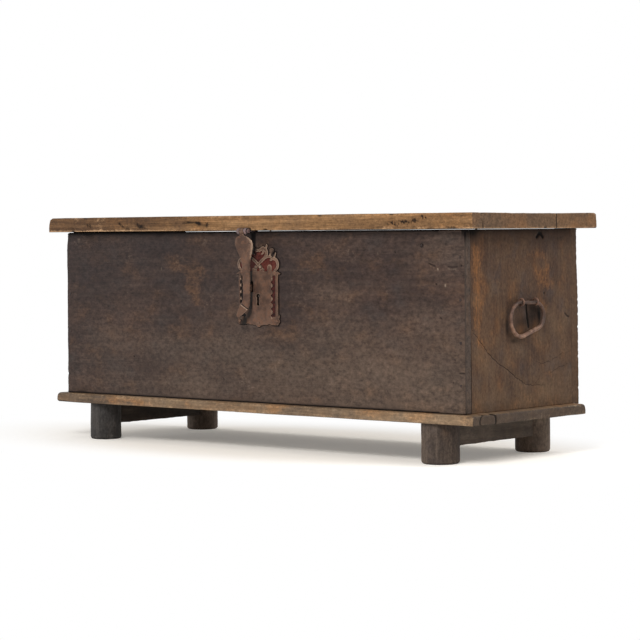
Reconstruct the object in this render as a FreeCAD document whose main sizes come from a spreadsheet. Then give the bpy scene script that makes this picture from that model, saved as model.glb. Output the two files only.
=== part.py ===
import FreeCAD, Part
import Sketcher
import math
import os
import re
from types import SimpleNamespace

# A long low storage chest of plain planks. The box stands on a moulded plank base, which stands on
# four round feet joined in pairs by cross beams. The lid hangs on two linked wire hinges at the back
# and is fastened at the front by a hinged hasp over a pierced iron lock plate. A ring handle hangs
# on two eyes at each end.
#
# Row frame: X along the length, +Y to the back, +Z up, origin on the floor under the middle of the
# whole chest. Every length is in millimetres and every angle in degrees.

Vector = FreeCAD.Vector
Rotation = FreeCAD.Rotation
Placement = FreeCAD.Placement

# ---------------------------------------------------------------- driving sizes
SIZES = (
    # lid
    ("lid_length", 1200.0, "lid over its two end faces"),
    ("lid_thick", 32.3, "lid planks"),
    ("lid_end_overhang", 36.6, "lid past the box at each end"),
    ("lid_front_overhang", 22.0, "lid past the box in front"),
    ("lid_back_overhang", 24.5, "lid past the box behind"),
    ("lid_strip_width", 36.0, "narrow front plank of the lid"),
    ("lid_middle_width", 251.0, "middle plank of the lid"),
    ("lid_dish", 2.6, "hollow worn in the lid's top"),
    ("lid_arris", 4.5, "rounding of the lid's outer edges"),
    ("lid_dowel_radius", 5.0, "dowels between the lid planks"),
    ("lid_dowel_length", 42.0, "dowels between the lid planks"),
    ("lid_dowel_inset", 150.0, "first and last dowel inside the lid's ends"),
    # box
    ("box_depth", 389.0, "box from front face to back face"),
    ("box_height", 363.8, "end boards"),
    ("lid_gap", 2.5, "front and back boards stop this far under the lid"),
    ("board_thick", 20.0, "front, back and end boards"),
    ("board_arris", 1.5, "rounding of the board edges"),
    # base
    ("base_thick", 21.05, "base planks"),
    ("base_end_overhang", 27.2, "base past the box at each end"),
    ("base_front_overhang", 12.1, "base past the box in front"),
    ("base_back_setback", 9.5, "base stops this far short of the box's back face"),
    ("base_front_width", 76.0, "front plank of the base"),
    ("base_middle_width", 158.0, "middle plank of the base"),
    ("base_arris", 7.0, "rounding of the base's upper outer edge"),
    # feet and beams
    ("foot_height", 81.35, "foot from the floor to the base"),
    ("foot_front_right", 39.0, "radius of this foot"),
    ("foot_front_left", 35.1, "radius of this foot"),
    ("foot_back_right", 37.1, "radius of this foot"),
    ("foot_back_left", 36.9, "radius of this foot"),
    ("foot_end_inset", 115.1, "foot centres inside the base's ends"),
    ("foot_front_inset", 34.3, "front foot centre behind the box's front face"),
    ("foot_back_inset", 38.6, "back foot centre before the box's back face"),
    ("foot_wear", 3.5, "rounding of the foot's lower edge"),
    ("foot_tenon_radius", 14.0, "round tenon on top of the foot"),
    ("foot_tenon_height", 15.0, "round tenon on top of the foot"),
    ("beam_width", 45.0, "cross beam along X"),
    ("beam_height", 47.8, "cross beam along Z"),
    ("beam_tenon_width", 22.0, "tenon of the beam in the foot"),
    ("beam_tenon_height", 28.0, "tenon of the beam in the foot"),
    ("beam_tenon_depth", 18.0, "tenon of the beam in the foot"),
    # nails
    ("nail_radius", 1.8, "shank of a carcass nail"),
    ("nail_length", 45.0, "shank of a carcass nail"),
    ("nail_head_radius", 4.0, "head of a carcass nail"),
    ("nail_head_thick", 1.2, "head of a carcass nail"),
    ("nail_pitch", 84.0, "spacing of the nails down a corner"),
    ("tack_radius", 1.2, "shank of a plate nail"),
    ("tack_length", 13.0, "shank of a plate nail"),
    ("tack_head_radius", 3.2, "head of a plate nail"),
    ("tack_head_thick", 1.4, "head of a plate nail"),
    ("hole_clearance", 0.1, "round hole over its nail, dowel or tenon, on the radius"),
    ("seat_clearance", 0.2, "flat sided pocket over what sits in it, each side"),
    # lid hinges: a wire eye in the lid linked through a staple in the back board
    ("hinge_inset", 302.0, "hinges inside the lid's ends"),
    ("hinge_drop", 10.2, "hinge axis under the lid"),
    ("hinge_out", 9.0, "hinge axis behind the box's back face"),
    ("hinge_staple_wire", 2.2, "radius of the staple's wire"),
    ("hinge_staple_half", 6.0, "middle of the staple to the middle of a leg"),
    ("hinge_eye_wire", 1.9, "radius of the eye's wire"),
    ("hinge_eye_inner", 2.7, "inside radius of the eye"),
    ("hinge_spike_length", 24.0, "spike of the eye inside the lid"),
    ("clench_length", 15.0, "wire end bent flat on the inside"),
    ("clench_thick", 2.4, "wire end bent flat on the inside"),
    # hasp and its hinge at the lid's front edge
    ("hasp_x", 6.0, "middle of the hasp, to the right of the chest's middle"),
    ("hasp_stand_out", 7.5, "hasp hinge axis before the lid's front face"),
    ("hasp_axis_drop", 1.0, "hasp hinge axis under the lid's underside"),
    ("barrel_radius", 8.0, "hinge knuckles"),
    ("barrel_length", 27.5, "all knuckles together"),
    ("barrel_clearance", 0.6, "hollow in the lid over the knuckles, on the radius"),
    ("hasp_knuckle_width", 12.0, "knuckle of the hasp"),
    ("knuckle_gap", 0.3, "between two knuckles"),
    ("pin_radius", 3.0, "hinge pin"),
    ("pin_clearance", 0.05, "knuckle bore over the pin, on the radius"),
    ("pin_head_radius", 4.6, "hinge pin's ends"),
    ("pin_head_thick", 1.6, "hinge pin's ends"),
    ("leaf_thick", 2.0, "leaf of the hinge under the lid"),
    ("leaf_length", 35.0, "leaf of the hinge behind the lid's front face"),
    ("leaf_shoulder", 24.0, "where the leaf narrows, behind the lid's front face"),
    ("leaf_tack_inset", 13.2, "leaf nails behind the lid's front face"),
    ("hasp_thick", 3.8, "hasp strap"),
    ("hasp_head_half", 25.0, "half width of the hasp's pear shaped head"),
    ("hasp_strap_half", 10.0, "half width of the hasp's strap"),
    ("staple_drop", 120.2, "middle of the hasp's staple under its hinge axis"),
    ("staple_wire", 2.1, "radius of the hasp staple's wire"),
    ("staple_half", 6.9, "middle of the hasp's staple to the middle of a leg"),
    ("staple_bend", 3.0, "bend of the hasp's staple, middle of the wire"),
    ("staple_clearance", 0.8, "hanging staple before the lock plate"),
    # lock
    ("plate_x", 22.8, "middle of the lock plate, right of the chest's middle"),
    ("plate_drop", 86.2, "top of the plate's field under the lid"),
    ("plate_height", 112.0, "plate's field from top to bottom"),
    ("plate_half", 55.0, "half width of the plate"),
    ("plate_thick", 1.8, "lock plate"),
    ("backing_thick", 0.6, "red leather behind the plate"),
    ("backing_inset", 1.5, "leather inside the plate's edge"),
    ("channel_inner", 39.5, "plate middle to the side channel's inner edge"),
    ("channel_width", 7.5, "side channel"),
    ("scallop_radius", 4.6, "bites along the side channel"),
    ("scallop_pitch", 14.0, "spacing of the bites"),
    ("scallop_first", 22.5, "first bite under the field's top"),
    ("channel_top", 8.0, "side channel under the field's top"),
    ("channel_foot", 17.0, "side channel over the field's foot"),
    ("keyhole_drop", 138.2, "keyhole's round head under the lid"),
    ("keyhole_radius", 4.6, "keyhole's round head"),
    ("keyhole_slot", 5.0, "width of the keyhole's slot"),
    ("keyhole_length", 20.0, "keyhole from the head's middle down"),
    ("keyhole_foot_half", 4.5, "half width of the keyhole's flared foot"),
    ("keyhole_foot_height", 5.0, "keyhole's flared foot"),
    ("key_pin_radius", 1.7, "pin for a hollow key"),
    ("slot_width", 7.0, "slot for the hasp's staple"),
    ("slot_below", 9.3, "slot under the staple's middle"),
    ("slot_above", 14.4, "slot over the staple's middle"),
    ("case_left", 14.0, "lock case to the left of the hasp's middle"),
    ("case_right", 56.0, "lock case to the right of the hasp's middle"),
    ("case_above", 23.0, "lock case over the staple's middle"),
    ("case_below", 45.0, "lock case under the staple's middle"),
    ("case_depth", 12.6, "lock case behind the plate"),
    ("case_wall", 1.2, "lock case"),
    ("bolt_height", 7.0, "bolt along Z"),
    ("bolt_thick", 3.6, "bolt along Y"),
    ("bolt_behind", 1.0, "bolt behind the plate"),
    ("bolt_rise", 2.8, "middle of the bolt over the hanging staple's middle"),
    ("bolt_nose", 5.5, "withdrawn bolt's end, right of the staple's middle"),
    ("bolt_length", 47.5, "bolt along X"),
    ("bolt_notch", 9.0, "notch for the key, along X"),
    ("bolt_notch_depth", 2.8, "notch for the key, along Z"),
    ("bolt_gap", 0.3, "between the bolt and what guides it"),
    ("keeper_width", 4.0, "bolt keepers"),
    ("keeper_thick", 1.2, "bolt keepers"),
    ("keeper_room", 3.7, "first guide keeper to the right of the key's notch"),
    ("keeper_pitch", 7.0, "first guide keeper to the second"),
    ("spring_thick", 0.9, "lock spring"),
    ("spring_post", 2.0, "radius of the spring's post"),
    # ring handles
    ("bail_drop", 148.2, "handle's axis under the lid"),
    ("bail_out", 8.8, "handle's axis before the end board"),
    ("bail_wire", 4.1, "radius of the handle's bar"),
    ("bail_front_radius", 34.6, "front bend of the handle, middle of the bar"),
    ("bail_back_radius", 29.5, "back bend of the handle, middle of the bar"),
    ("bail_bend_spread", 55.6, "middle of the front bend to the middle of the back bend"),
    ("bail_inset", 176.5, "middle of the front bend behind the box's front face"),
    ("bail_eye_spread", 49.0, "between the two eyes"),
    ("bail_eye_inset", 178.5, "front eye behind the box's front face"),
    ("bail_eye_inner", 4.6, "inside radius of an eye"),
    ("bail_eye_wire", 1.9, "radius of an eye's wire"),
    ("bail_shank", 2.6, "radius of the eye's shank in the board"),
    # a nail left in the front board
    ("odd_nail_inset", 105.4, "odd nail inside the box's right end"),
    ("odd_nail_drop", 32.2, "odd nail under the lid"),
    # places worked out from the sizes above
    ("box_half", "=lid_length / 2 - lid_end_overhang", "outer face of an end board"),
    ("base_length", "=2 * (box_half + base_end_overhang)", "base along X"),
    ("foot_span", "=base_length - 2 * foot_end_inset", "left feet to right feet, middles"),
    ("hinge_spread", "=lid_length - 2 * hinge_inset", "left hinge to right hinge"),
    ("lid_dowel_pitch", "=(lid_length - 2 * lid_dowel_inset) / 3", "dowel to dowel"),
    ("base_top", "=foot_height + base_thick", "floor of the box"),
    ("lid_bottom", "=base_top + box_height", "underside of the lid"),
    ("lid_width", "=lid_front_overhang + box_depth + lid_back_overhang", "lid along Y"),
    ("hasp_reach", "=lid_front_overhang + hasp_stand_out", "hasp hinge axis before the box"),
    ("front_y", "=(hasp_reach + barrel_radius - box_depth - lid_back_overhang) / 2",
     "front face of the box"),
    ("back_y", "=front_y + box_depth", "back face of the box"),
    ("lid_front_y", "=front_y - lid_front_overhang", "front face of the lid"),
    ("beam_foot_gap", "=foot_height - beam_height", "floor to the beam's underside"),
    ("beam_tenon_z", "=beam_foot_gap + (beam_height - beam_tenon_height) / 2",
     "underside of the beam's tenon"),
    ("hasp_axis_y", "=front_y - hasp_reach", "hasp hinge axis"),
    ("hasp_axis_z", "=lid_bottom - hasp_axis_drop", "hasp hinge axis"),
    ("staple_z", "=hasp_axis_z - staple_drop", "middle of the hanging hasp's staple"),
    ("plate_back", "=front_y - backing_thick", "back face of the lock plate"),
    ("plate_front", "=plate_back - plate_thick", "front face of the lock plate"),
    ("field_top", "=lid_bottom - plate_drop", "top of the plate's field"),
    ("keyhole_z", "=lid_bottom - keyhole_drop", "middle of the keyhole's round head"),
    ("bolt_z", "=staple_z + bolt_rise - bolt_height / 2", "underside of the bolt"),
    ("hinge_axis_y", "=back_y + hinge_out", "lid hinge axis"),
    ("hinge_axis_z", "=lid_bottom - hinge_drop", "lid hinge axis"),
    ("bail_axis_z", "=lid_bottom - bail_drop", "axis of a ring handle"),
)

doc = FreeCAD.newDocument("chest")
sheet = doc.addObject("Spreadsheet::Sheet", "Sizes")
for row, (alias, value, note) in enumerate(SIZES, start=1):
    sheet.set(f"A{row}", alias)
    sheet.set(f"B{row}", str(value))
    sheet.set(f"C{row}", note)
    sheet.setAlias(f"B{row}", alias)
doc.recompute()
S = SimpleNamespace(**{alias: float(sheet.get(alias)) for alias, value, note in SIZES})
ALIASES = re.compile(r"\b(" + "|".join(alias for alias, value, note in SIZES) + r")\b")

FULL_TURN = 360.0
HALF_TURN = 180.0
# Four places evenly spread about a middle, in steps of a pitch.
FOUR_STEPS = (-1.5, -0.5, 0.5, 1.5)
# How far a tool that cuts right through runs past the surface.
PAST = 1.0
TURNED = {
    "X": Rotation(Vector(0, 1, 0), 90),
    "Y": Rotation(Vector(1, 0, 0), -90),
    "Z": Rotation(),
    "-Z": Rotation(Vector(1, 0, 0), 180),
    "-Y": Rotation(Vector(1, 0, 0), 90),
}
pieces = []


# ---------------------------------------------------------------- helpers
def bind(item, prop, text):
    """Tie a property to an expression of the sheet's names."""
    item.setExpression(prop, ALIASES.sub(r"Sizes.\1", str(text)))


def place(item, x, y, z):
    """Tie an object's place to three expressions."""
    for axis, text in zip("xyz", (x, y, z)):
        bind(item, f"Placement.Base.{axis}", text)


def block(name, size, at):
    """A box from its lowest corner."""
    item = doc.addObject("Part::Box", name)
    for prop, text in zip(("Length", "Width", "Height"), size):
        bind(item, prop, text)
    place(item, *at)
    return item


def rod(name, radius, length, at, along="Z"):
    """A round bar that starts at a point and runs along one axis."""
    item = doc.addObject("Part::Cylinder", name)
    bind(item, "Radius", radius)
    bind(item, "Height", length)
    item.Placement = Placement(Vector(), TURNED[along])
    place(item, *at)
    return item


def group(name, items):
    """Several solids as one object."""
    item = doc.addObject("Part::Compound", name)
    item.Links = items
    return item


def joined(name, items):
    """Several touching solids made one."""
    item = doc.addObject("Part::MultiFuse", name)
    item.Shapes = items
    return item


def less(name, base, tools):
    """A solid with holes and pockets taken out of it."""
    item = doc.addObject("Part::Cut", name)
    item.Base = base
    item.Tool = group(name + "_cuts", tools)
    return item


def made(name, shape):
    """An object whose shape is worked out from the sizes in code."""
    item = doc.addObject("Part::Feature", name)
    item.Shape = shape
    return item


def keep(item, label):
    """Name a finished sub-part and list it for export."""
    item.Label = label
    pieces.append(item)
    return item


def origin_plane(body, role):
    """One of a body's own origin planes."""
    return next(item for item in body.Origin.OriginFeatures if item.Role == role)


def outline(body, role, corners):
    """A closed sketch of straight lines whose corners are pairs of expressions."""
    sketch = body.newObject("Sketcher::SketchObject", body.Name + "_outline")
    sketch.AttachmentSupport = (origin_plane(body, role), [""])
    sketch.MapMode = "FlatFace"
    count = len(corners)
    rough = [Vector(*(value_of(text) for text in corner), 0) for corner in corners]
    for index in range(count):
        sketch.addGeometry(Part.LineSegment(rough[index], rough[(index + 1) % count]), False)
    for index in range(count):
        following = (index + 1) % count
        sketch.addConstraint(Sketcher.Constraint("Coincident", index, 2, following, 1))
    for index, corner in enumerate(corners):
        for kind, axis, text in zip(("DistanceX", "DistanceY"), (-2, -1), corner):
            if str(text) == "0":
                sketch.addConstraint(Sketcher.Constraint("PointOnObject", index, 1, axis))
                continue
            name = f"{kind}{index}"
            number = sketch.addConstraint(
                Sketcher.Constraint(kind, -1, 1, index, 1, value_of(text)))
            sketch.renameConstraint(number, name)
            bind(sketch, f"Constraints.{name}", text)
    return sketch


def value_of(text):
    """The number that an expression of the sheet's names gives."""
    return float(sheet.evalExpression(str(text)))


def padded(name, role, corners, length, at, rounded=None, radius=None):
    """A body: an outline on one of its planes, padded, with its chosen edges rounded."""
    body = doc.addObject("PartDesign::Body", name)
    sketch = outline(body, role, corners)
    pad = body.newObject("PartDesign::Pad", name + "_pad")
    pad.Profile = sketch
    bind(pad, "Length", length)
    place(body, *at)
    doc.recompute()
    if rounded:
        chosen = [f"Edge{number}" for number, edge in enumerate(pad.Shape.Edges, start=1)
                  if rounded(edge, pad.Shape.BoundBox)]
        fillet = body.newObject("PartDesign::Fillet", name + "_arris")
        fillet.Base = (pad, chosen)
        bind(fillet, "Radius", radius)
    return body


def any_edge(edge, limits):
    """Every edge of a pad."""
    return True


# ---------------------------------------------------------------- nails
def nail(name, at, along, kind="nail"):
    """A nail whose head lies on the surface at a point, and whose shank runs along an axis."""
    shank = rod(name + "_shank", f"{kind}_radius", f"{kind}_length", at, along)
    against = {"X": (1, 0, 0), "Y": (0, 1, 0), "Z": (0, 0, 1), "-Y": (0, -1, 0),
               "-Z": (0, 0, -1)}[along]
    start = [f"{text} - ({sign}) * {kind}_head_thick" for text, sign in zip(at, against)]
    head = rod(name + "_head", f"{kind}_head_radius", f"{kind}_head_thick", start, along)
    return joined(name, [shank, head])


def nail_hole(name, at, along, kind="nail"):
    """The round hole that a nail's shank passes through."""
    return rod(name, f"{kind}_radius + hole_clearance", f"{kind}_length + {PAST}", at, along)


def nailed(label, places, along, kind="nail"):
    """A group of like nails, and the holes for them."""
    nails = [nail(f"{label}_{number}", at, along, kind) for number, at in enumerate(places)]
    holes = [nail_hole(f"{label}_hole_{number}", at, along, kind)
             for number, at in enumerate(places)]
    keep(group(label + "_group", nails), label)
    return holes


# ---------------------------------------------------------------- shapes worked out in code
def arc_edge(centre, radius, start, end, across):
    """An arc about a centre; across turns an angle into a unit vector."""
    middle = (start + end) / 2
    return Part.Arc(*(centre + across(angle) * radius for angle in (start, middle, end))).toShape()


def upright(angle):
    """A unit vector in the XZ plane, from +X towards +Z."""
    turn = math.radians(angle)
    return Vector(math.cos(turn), 0, math.sin(turn))


def sideways(angle):
    """A unit vector in the YZ plane, from +Y towards +Z."""
    turn = math.radians(angle)
    return Vector(0, math.cos(turn), math.sin(turn))


def sheet_piece(edges, thick):
    """A closed outline in the XZ plane, thickened towards +Y."""
    return Part.Face(Part.Wire(Part.__sortEdges__(edges))).extrude(Vector(0, thick, 0))


def scroll(centre, radius, width, start, end, thick):
    """A flat band that follows an arc."""
    outer = arc_edge(centre, radius + width / 2, start, end, upright)
    inner = arc_edge(centre, radius - width / 2, start, end, upright)
    ends = [Part.LineSegment(outer.Vertexes[k].Point, inner.Vertexes[k].Point).toShape()
            for k in (0, 1)]
    return sheet_piece([outer, inner] + ends, thick)


def boss(centre, radius, thick):
    """A flat disc."""
    return Part.makeCylinder(radius, thick, centre, Vector(0, 1, 0))


def strip(start, end, width, thick):
    """A straight flat band between two points of the XZ plane."""
    along = (end - start).normalize()
    side = Vector(-along.z, 0, along.x) * (width / 2)
    corners = [start + side, end + side, end - side, start - side, start + side]
    return Part.Face(Part.makePolygon(corners)).extrude(Vector(0, thick, 0))


def smooth(points):
    """One smooth curve through a few points."""
    curve = Part.BSplineCurve()
    curve.interpolate(points)
    return curve.toShape()


def wire_piece(path, radius, start, direction):
    """A round wire that follows a path of runs and bends."""
    profile = Part.Wire(Part.makeCircle(radius, start, direction))
    return path.makePipeShell([profile], True, True)


def one_solid(shape):
    """The single solid of a fused shape, with leftover seams removed."""
    return shape.removeSplitter()


def lug_shape(width, run, bend, wire, toward, across):
    """A square ended loop of round wire: two legs, two bends and a bar, all in one plane.

    The legs start at the local origin's plane and run along toward for run, to the middle of the
    bar; across points from one leg to the other.
    """
    half = width / 2
    near = -across * half
    far = across * half
    straight = toward * (run - bend)
    corner_a = near + straight
    corner_b = far + straight
    diagonal = math.sqrt(0.5)
    bend_a = Part.Arc(corner_a,
                      corner_a + across * bend * (1 - diagonal) + toward * bend * diagonal,
                      corner_a + across * bend + toward * bend).toShape()
    bend_b = Part.Arc(corner_b - across * bend + toward * bend,
                      corner_b - across * bend * (1 - diagonal) + toward * bend * diagonal,
                      corner_b).toShape()
    bar = Part.LineSegment(corner_a + across * bend + toward * bend,
                           corner_b - across * bend + toward * bend).toShape()
    legs = [Part.LineSegment(near, corner_a).toShape(), Part.LineSegment(corner_b, far).toShape()]
    path = Part.Wire([legs[0], bend_a, bar, bend_b, legs[1]])
    return wire_piece(path, wire, near, toward)


def eye_shape(inner, wire, shank, reach):
    """A ring in the XZ plane about the origin, with a round shank along -X."""
    ring = Part.makeTorus(inner + wire, wire, Vector(), Vector(0, 1, 0))
    start = inner + wire * 0.8
    stem = Part.makeCylinder(shank, reach - start, Vector(-start, 0, 0), Vector(-1, 0, 0))
    opening = Part.makeCylinder(inner, 4 * wire, Vector(0, -2 * wire, 0), Vector(0, 1, 0))
    return one_solid(ring.fuse(stem.cut(opening)))


# ---------------------------------------------------------------- lid
def lid_plank(name, front, back, front_top, back_top, rounded):
    """One plank of the lid: a strip between two depths, its top following the hollow."""
    corners = [(front, "0"), (back, "0"), (back, back_top), (front, front_top)]
    at = ("-lid_length / 2", "lid_front_y", "lid_bottom")
    return padded(name, "YZ_Plane", corners, "lid_length", at, rounded, "lid_arris")


def lid_outer_edges(with_front, with_back):
    """Picks the edges of a lid plank that show: its ends and its free long sides."""
    def chosen(edge, limits):
        middle = edge.BoundBox.Center
        at_end = edge.BoundBox.XLength < 1
        at_front = abs(middle.y - limits.YMin) < 1 and with_front
        at_back = abs(middle.y - limits.YMax) < 1 and with_back
        upright_edge = edge.BoundBox.ZLength > S.lid_thick / 2
        if at_end:
            return at_front or at_back or not upright_edge
        return at_front or at_back
    return chosen


def dowel_places():
    """Where the dowels cross the two joints between the lid planks."""
    joints = ("lid_strip_width", "lid_strip_width + lid_middle_width")
    return [(f"{step} * lid_dowel_pitch", f"lid_front_y + {joint} - lid_dowel_length / 2",
             "lid_bottom + lid_thick / 2") for joint in joints for step in FOUR_STEPS]


def lid():
    """Three planks, dowelled edge to edge."""
    front = lid_plank("lid_front_blank", "0", "lid_strip_width", "lid_thick", "lid_thick",
                      lid_outer_edges(True, False))
    middle_back = "lid_strip_width + lid_middle_width"
    middle = lid_plank("lid_middle_blank", "lid_strip_width", middle_back, "lid_thick",
                       "lid_thick - lid_dish", lid_outer_edges(False, False))
    back = lid_plank("lid_back_blank", middle_back, "lid_width", "lid_thick - lid_dish",
                     "lid_thick", lid_outer_edges(False, True))
    places = dowel_places()
    dowels = [rod(f"dowel_{number}", "lid_dowel_radius", "lid_dowel_length", at, "Y")
              for number, at in enumerate(places)]
    keep(group("dowel_group", dowels), "lid_dowels")

    def holes(name, chosen):
        """Dowel holes with a little room at each end."""
        return [rod(f"{name}_{number}", "lid_dowel_radius + hole_clearance",
                    "lid_dowel_length + 2 * seat_clearance",
                    (x, f"{y} - seat_clearance", z), "Y")
                for number, (x, y, z) in enumerate(chosen)]

    scallop = rod("hinge_scallop", "barrel_radius + barrel_clearance",
                  f"barrel_length + 2 * {PAST}",
                  (f"hasp_x - barrel_length / 2 - {PAST}", "hasp_axis_y", "hasp_axis_z"), "X")
    tack_holes = [nail_hole(f"leaf_tack_hole_{number}", at, "Z", "tack")
                  for number, at in enumerate(leaf_tack_places())]
    keep(less("lid_front", front, holes("front_dowel_hole", places[:4]) + [scallop]
              + tack_holes), "lid_front_strip")
    keep(less("lid_middle", middle, holes("middle_dowel_hole", places)), "lid_middle_plank")
    spikes = [rod(f"hinge_spike_hole_{number}", "hinge_staple_wire + hole_clearance",
                  "hinge_spike_length + seat_clearance",
                  (f"{side} * hinge_spread / 2", "hinge_axis_y", "lid_bottom"))
              for number, side in enumerate((-1, 1))]
    keep(less("lid_back", back, holes("back_dowel_hole", places[4:]) + spikes),
         "lid_back_plank")


# ---------------------------------------------------------------- box
def board_blank(name, size, at):
    """A sawn board with lightly rounded edges."""
    length, width, height = size
    corners = [("0", "0"), (length, "0"), (length, width), ("0", width)]
    return padded(name, "XY_Plane", corners, height, at, any_edge, "board_arris")


def corner_nail_places(surface):
    """Nails through the front or back board into the ends of the end boards."""
    return [(f"{side} * (box_half - board_thick / 2)", surface,
             f"base_top + box_height / 2 + {step} * nail_pitch")
            for side in (-1, 1) for step in FOUR_STEPS]


def bail_shank_holes(side, name):
    """Holes for the two eyes of one ring handle."""
    start = f"box_half - board_thick - {PAST}" if side > 0 else f"-box_half - {PAST}"
    return [rod(f"{name}_eye_hole_{number}", "bail_shank + hole_clearance",
                f"board_thick + 2 * {PAST}",
                (start, f"front_y + bail_eye_inset + {number} * bail_eye_spread", "bail_axis_z"),
                "X") for number in (0, 1)]


def hinge_leg_holes(name):
    """Holes for the legs of the two hinge staples."""
    return [rod(f"{name}_{number}", "hinge_staple_wire + hole_clearance",
                f"board_thick + 2 * {PAST}",
                (f"{side} * hinge_spread / 2 + {leg} * hinge_staple_half",
                 f"back_y - board_thick - {PAST}", "hinge_axis_z"), "Y")
            for number, (side, leg) in enumerate(((-1, -1), (-1, 1), (1, -1), (1, 1)))]


def lock_case_block(name, room):
    """The outside of the lock case, grown all round by some room."""
    size = (f"case_left + case_right + 2 * ({room})", f"case_depth + backing_thick + ({room})",
            f"case_above + case_below + 2 * ({room})")
    at = (f"hasp_x - case_left - ({room})", "front_y - backing_thick",
          f"staple_z - case_below - ({room})")
    return block(name, size, at)


def box_boards():
    """Front and back boards nailed over the ends of two end boards."""
    long_size = ("2 * box_half", "board_thick", "box_height - lid_gap")
    front = board_blank("front_blank", long_size, ("-box_half", "front_y", "base_top"))
    back = board_blank("back_blank", long_size, ("-box_half", "back_y - board_thick", "base_top"))
    front_holes = nailed("front_nails", corner_nail_places("front_y"), "Y")
    back_holes = nailed("back_nails", corner_nail_places("back_y"), "-Y")
    odd_hole = nailed("odd_nail", [("box_half - odd_nail_inset", "front_y", "lid_bottom - odd_nail_drop")],
                      "Y", "tack")
    mortise = lock_case_block("lock_mortise", "seat_clearance")
    tack_holes = [nail_hole(f"plate_tack_hole_{number}", at, "Y", "tack")
                  for number, at in enumerate(plate_tack_places("front_y"))]
    keep(less("front", front, front_holes + odd_hole + [mortise] + tack_holes
              + base_nail_holes("front")), "front_board")
    keep(less("back", back, back_holes + hinge_leg_holes("hinge_leg_hole")
              + base_nail_holes("back")), "back_board")
    end_size = ("board_thick", "box_depth - 2 * board_thick", "box_height")
    for side, name in ((-1, "left"), (1, "right")):
        start = "-box_half" if side < 0 else "box_half - board_thick"
        blank = board_blank(f"{name}_end_blank", end_size,
                            (start, "front_y + board_thick", "base_top"))
        picked = slice(0, 4) if side < 0 else slice(4, 8)
        keep(less(f"{name}_end", blank, front_holes[picked] + back_holes[picked]
                  + bail_shank_holes(side, name) + base_nail_holes(name)), f"{name}_end_board")


# ---------------------------------------------------------------- base
def base_plank(name, front, back, rounded):
    """One plank of the base."""
    corners = [("0", front), ("base_length", front), ("base_length", back), ("0", back)]
    at = ("-base_length / 2", "front_y - base_front_overhang", "foot_height")
    return padded(name, "XY_Plane", corners, "base_thick", at, rounded, "base_arris")


def base_outer_edges(with_front, with_back):
    """Picks a base plank's upper outer edges and its free upright corners."""
    def chosen(edge, limits):
        middle = edge.BoundBox.Center
        at_front = abs(middle.y - limits.YMin) < 1
        at_back = abs(middle.y - limits.YMax) < 1
        if edge.BoundBox.ZLength > S.base_thick / 2:
            return (at_front and with_front) or (at_back and with_back)
        if middle.z < limits.ZMax - 1:
            return False
        if edge.BoundBox.XLength < 1:
            return True
        return at_front and with_front
    return chosen


# Where the nails up through the base stand: shares of the box's length and of its depth.
LONG_NAILS = (-0.35, -0.12, 0.12, 0.35)
END_NAILS = (0.4, 0.7)
BEAM_NAILS = (0.28, 0.48, 0.68)
BOARDS = ("front", "back", "left", "right")
BASE_HOLES = {}


def base_nail_places(board):
    """Nails driven up through the base into one board of the box."""
    if board in ("left", "right"):
        side = -1 if board == "left" else 1
        return [(f"{side} * (box_half - board_thick / 2)", f"front_y + {share} * box_depth",
                 "foot_height") for share in END_NAILS]
    depth = {"front": "front_y + board_thick / 2",
             "back": "back_y - (board_thick + base_back_setback) / 2"}[board]
    return [(f"({share}) * 2 * box_half", depth, "foot_height") for share in LONG_NAILS]


def base_nail_holes(board):
    """The holes of the nails in one board, made once and used by the board and the base."""
    if board not in BASE_HOLES:
        BASE_HOLES[board] = [nail_hole(f"base_nail_hole_{board}_{number}", at, "Z")
                             for number, at in enumerate(base_nail_places(board))]
    return BASE_HOLES[board]


def beam_nail_places(side):
    """Nails down through the base into one cross beam."""
    return [(f"{side} * foot_span / 2", f"front_y + {share} * box_depth", "base_top")
            for share in BEAM_NAILS]


def foot_places():
    """The four feet: name, side, radius and the depth of the centre."""
    front = "front_y + foot_front_inset"
    back = "back_y - foot_back_inset"
    return (("front_right", 1, "foot_front_right", front),
            ("front_left", -1, "foot_front_left", front),
            ("back_right", 1, "foot_back_right", back),
            ("back_left", -1, "foot_back_left", back))


def tenon_sockets(depth_word):
    """Round sockets in the base for the tenons of the front or of the back feet."""
    return [rod(f"{name}_socket", "foot_tenon_radius + hole_clearance",
                "foot_tenon_height + seat_clearance",
                (f"{side} * foot_span / 2", depth, "foot_height"))
            for name, side, radius, depth in foot_places() if name.startswith(depth_word)]


def base():
    """Three planks laid edge to edge under the box."""
    whole = "base_front_overhang + box_depth - base_back_setback"
    middle_back = "base_front_width + base_middle_width"
    front = base_plank("base_front_blank", "0", "base_front_width", base_outer_edges(True, False))
    middle = base_plank("base_middle_blank", "base_front_width", middle_back,
                        base_outer_edges(False, False))
    back = base_plank("base_back_blank", middle_back, whole, base_outer_edges(False, True))
    nail_ups = [at for board in BOARDS for at in base_nail_places(board)]
    nails = [nail(f"base_nail_{number}", at, "Z") for number, at in enumerate(nail_ups)]
    keep(group("base_nail_group", nails), "base_nails")
    beam_nails = [at for side in (-1, 1) for at in beam_nail_places(side)]
    beam_holes = nailed("beam_nails", beam_nails, "-Z")
    ends = base_nail_holes("left") + base_nail_holes("right")
    inner = ends + beam_holes
    keep(less("base_front", front, base_nail_holes("front") + tenon_sockets("front")),
         "base_front_plank")
    keep(less("base_middle", middle, inner), "base_middle_plank")
    keep(less("base_back", back, base_nail_holes("back") + inner + tenon_sockets("back")),
         "base_back_plank")
    return beam_holes


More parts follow.
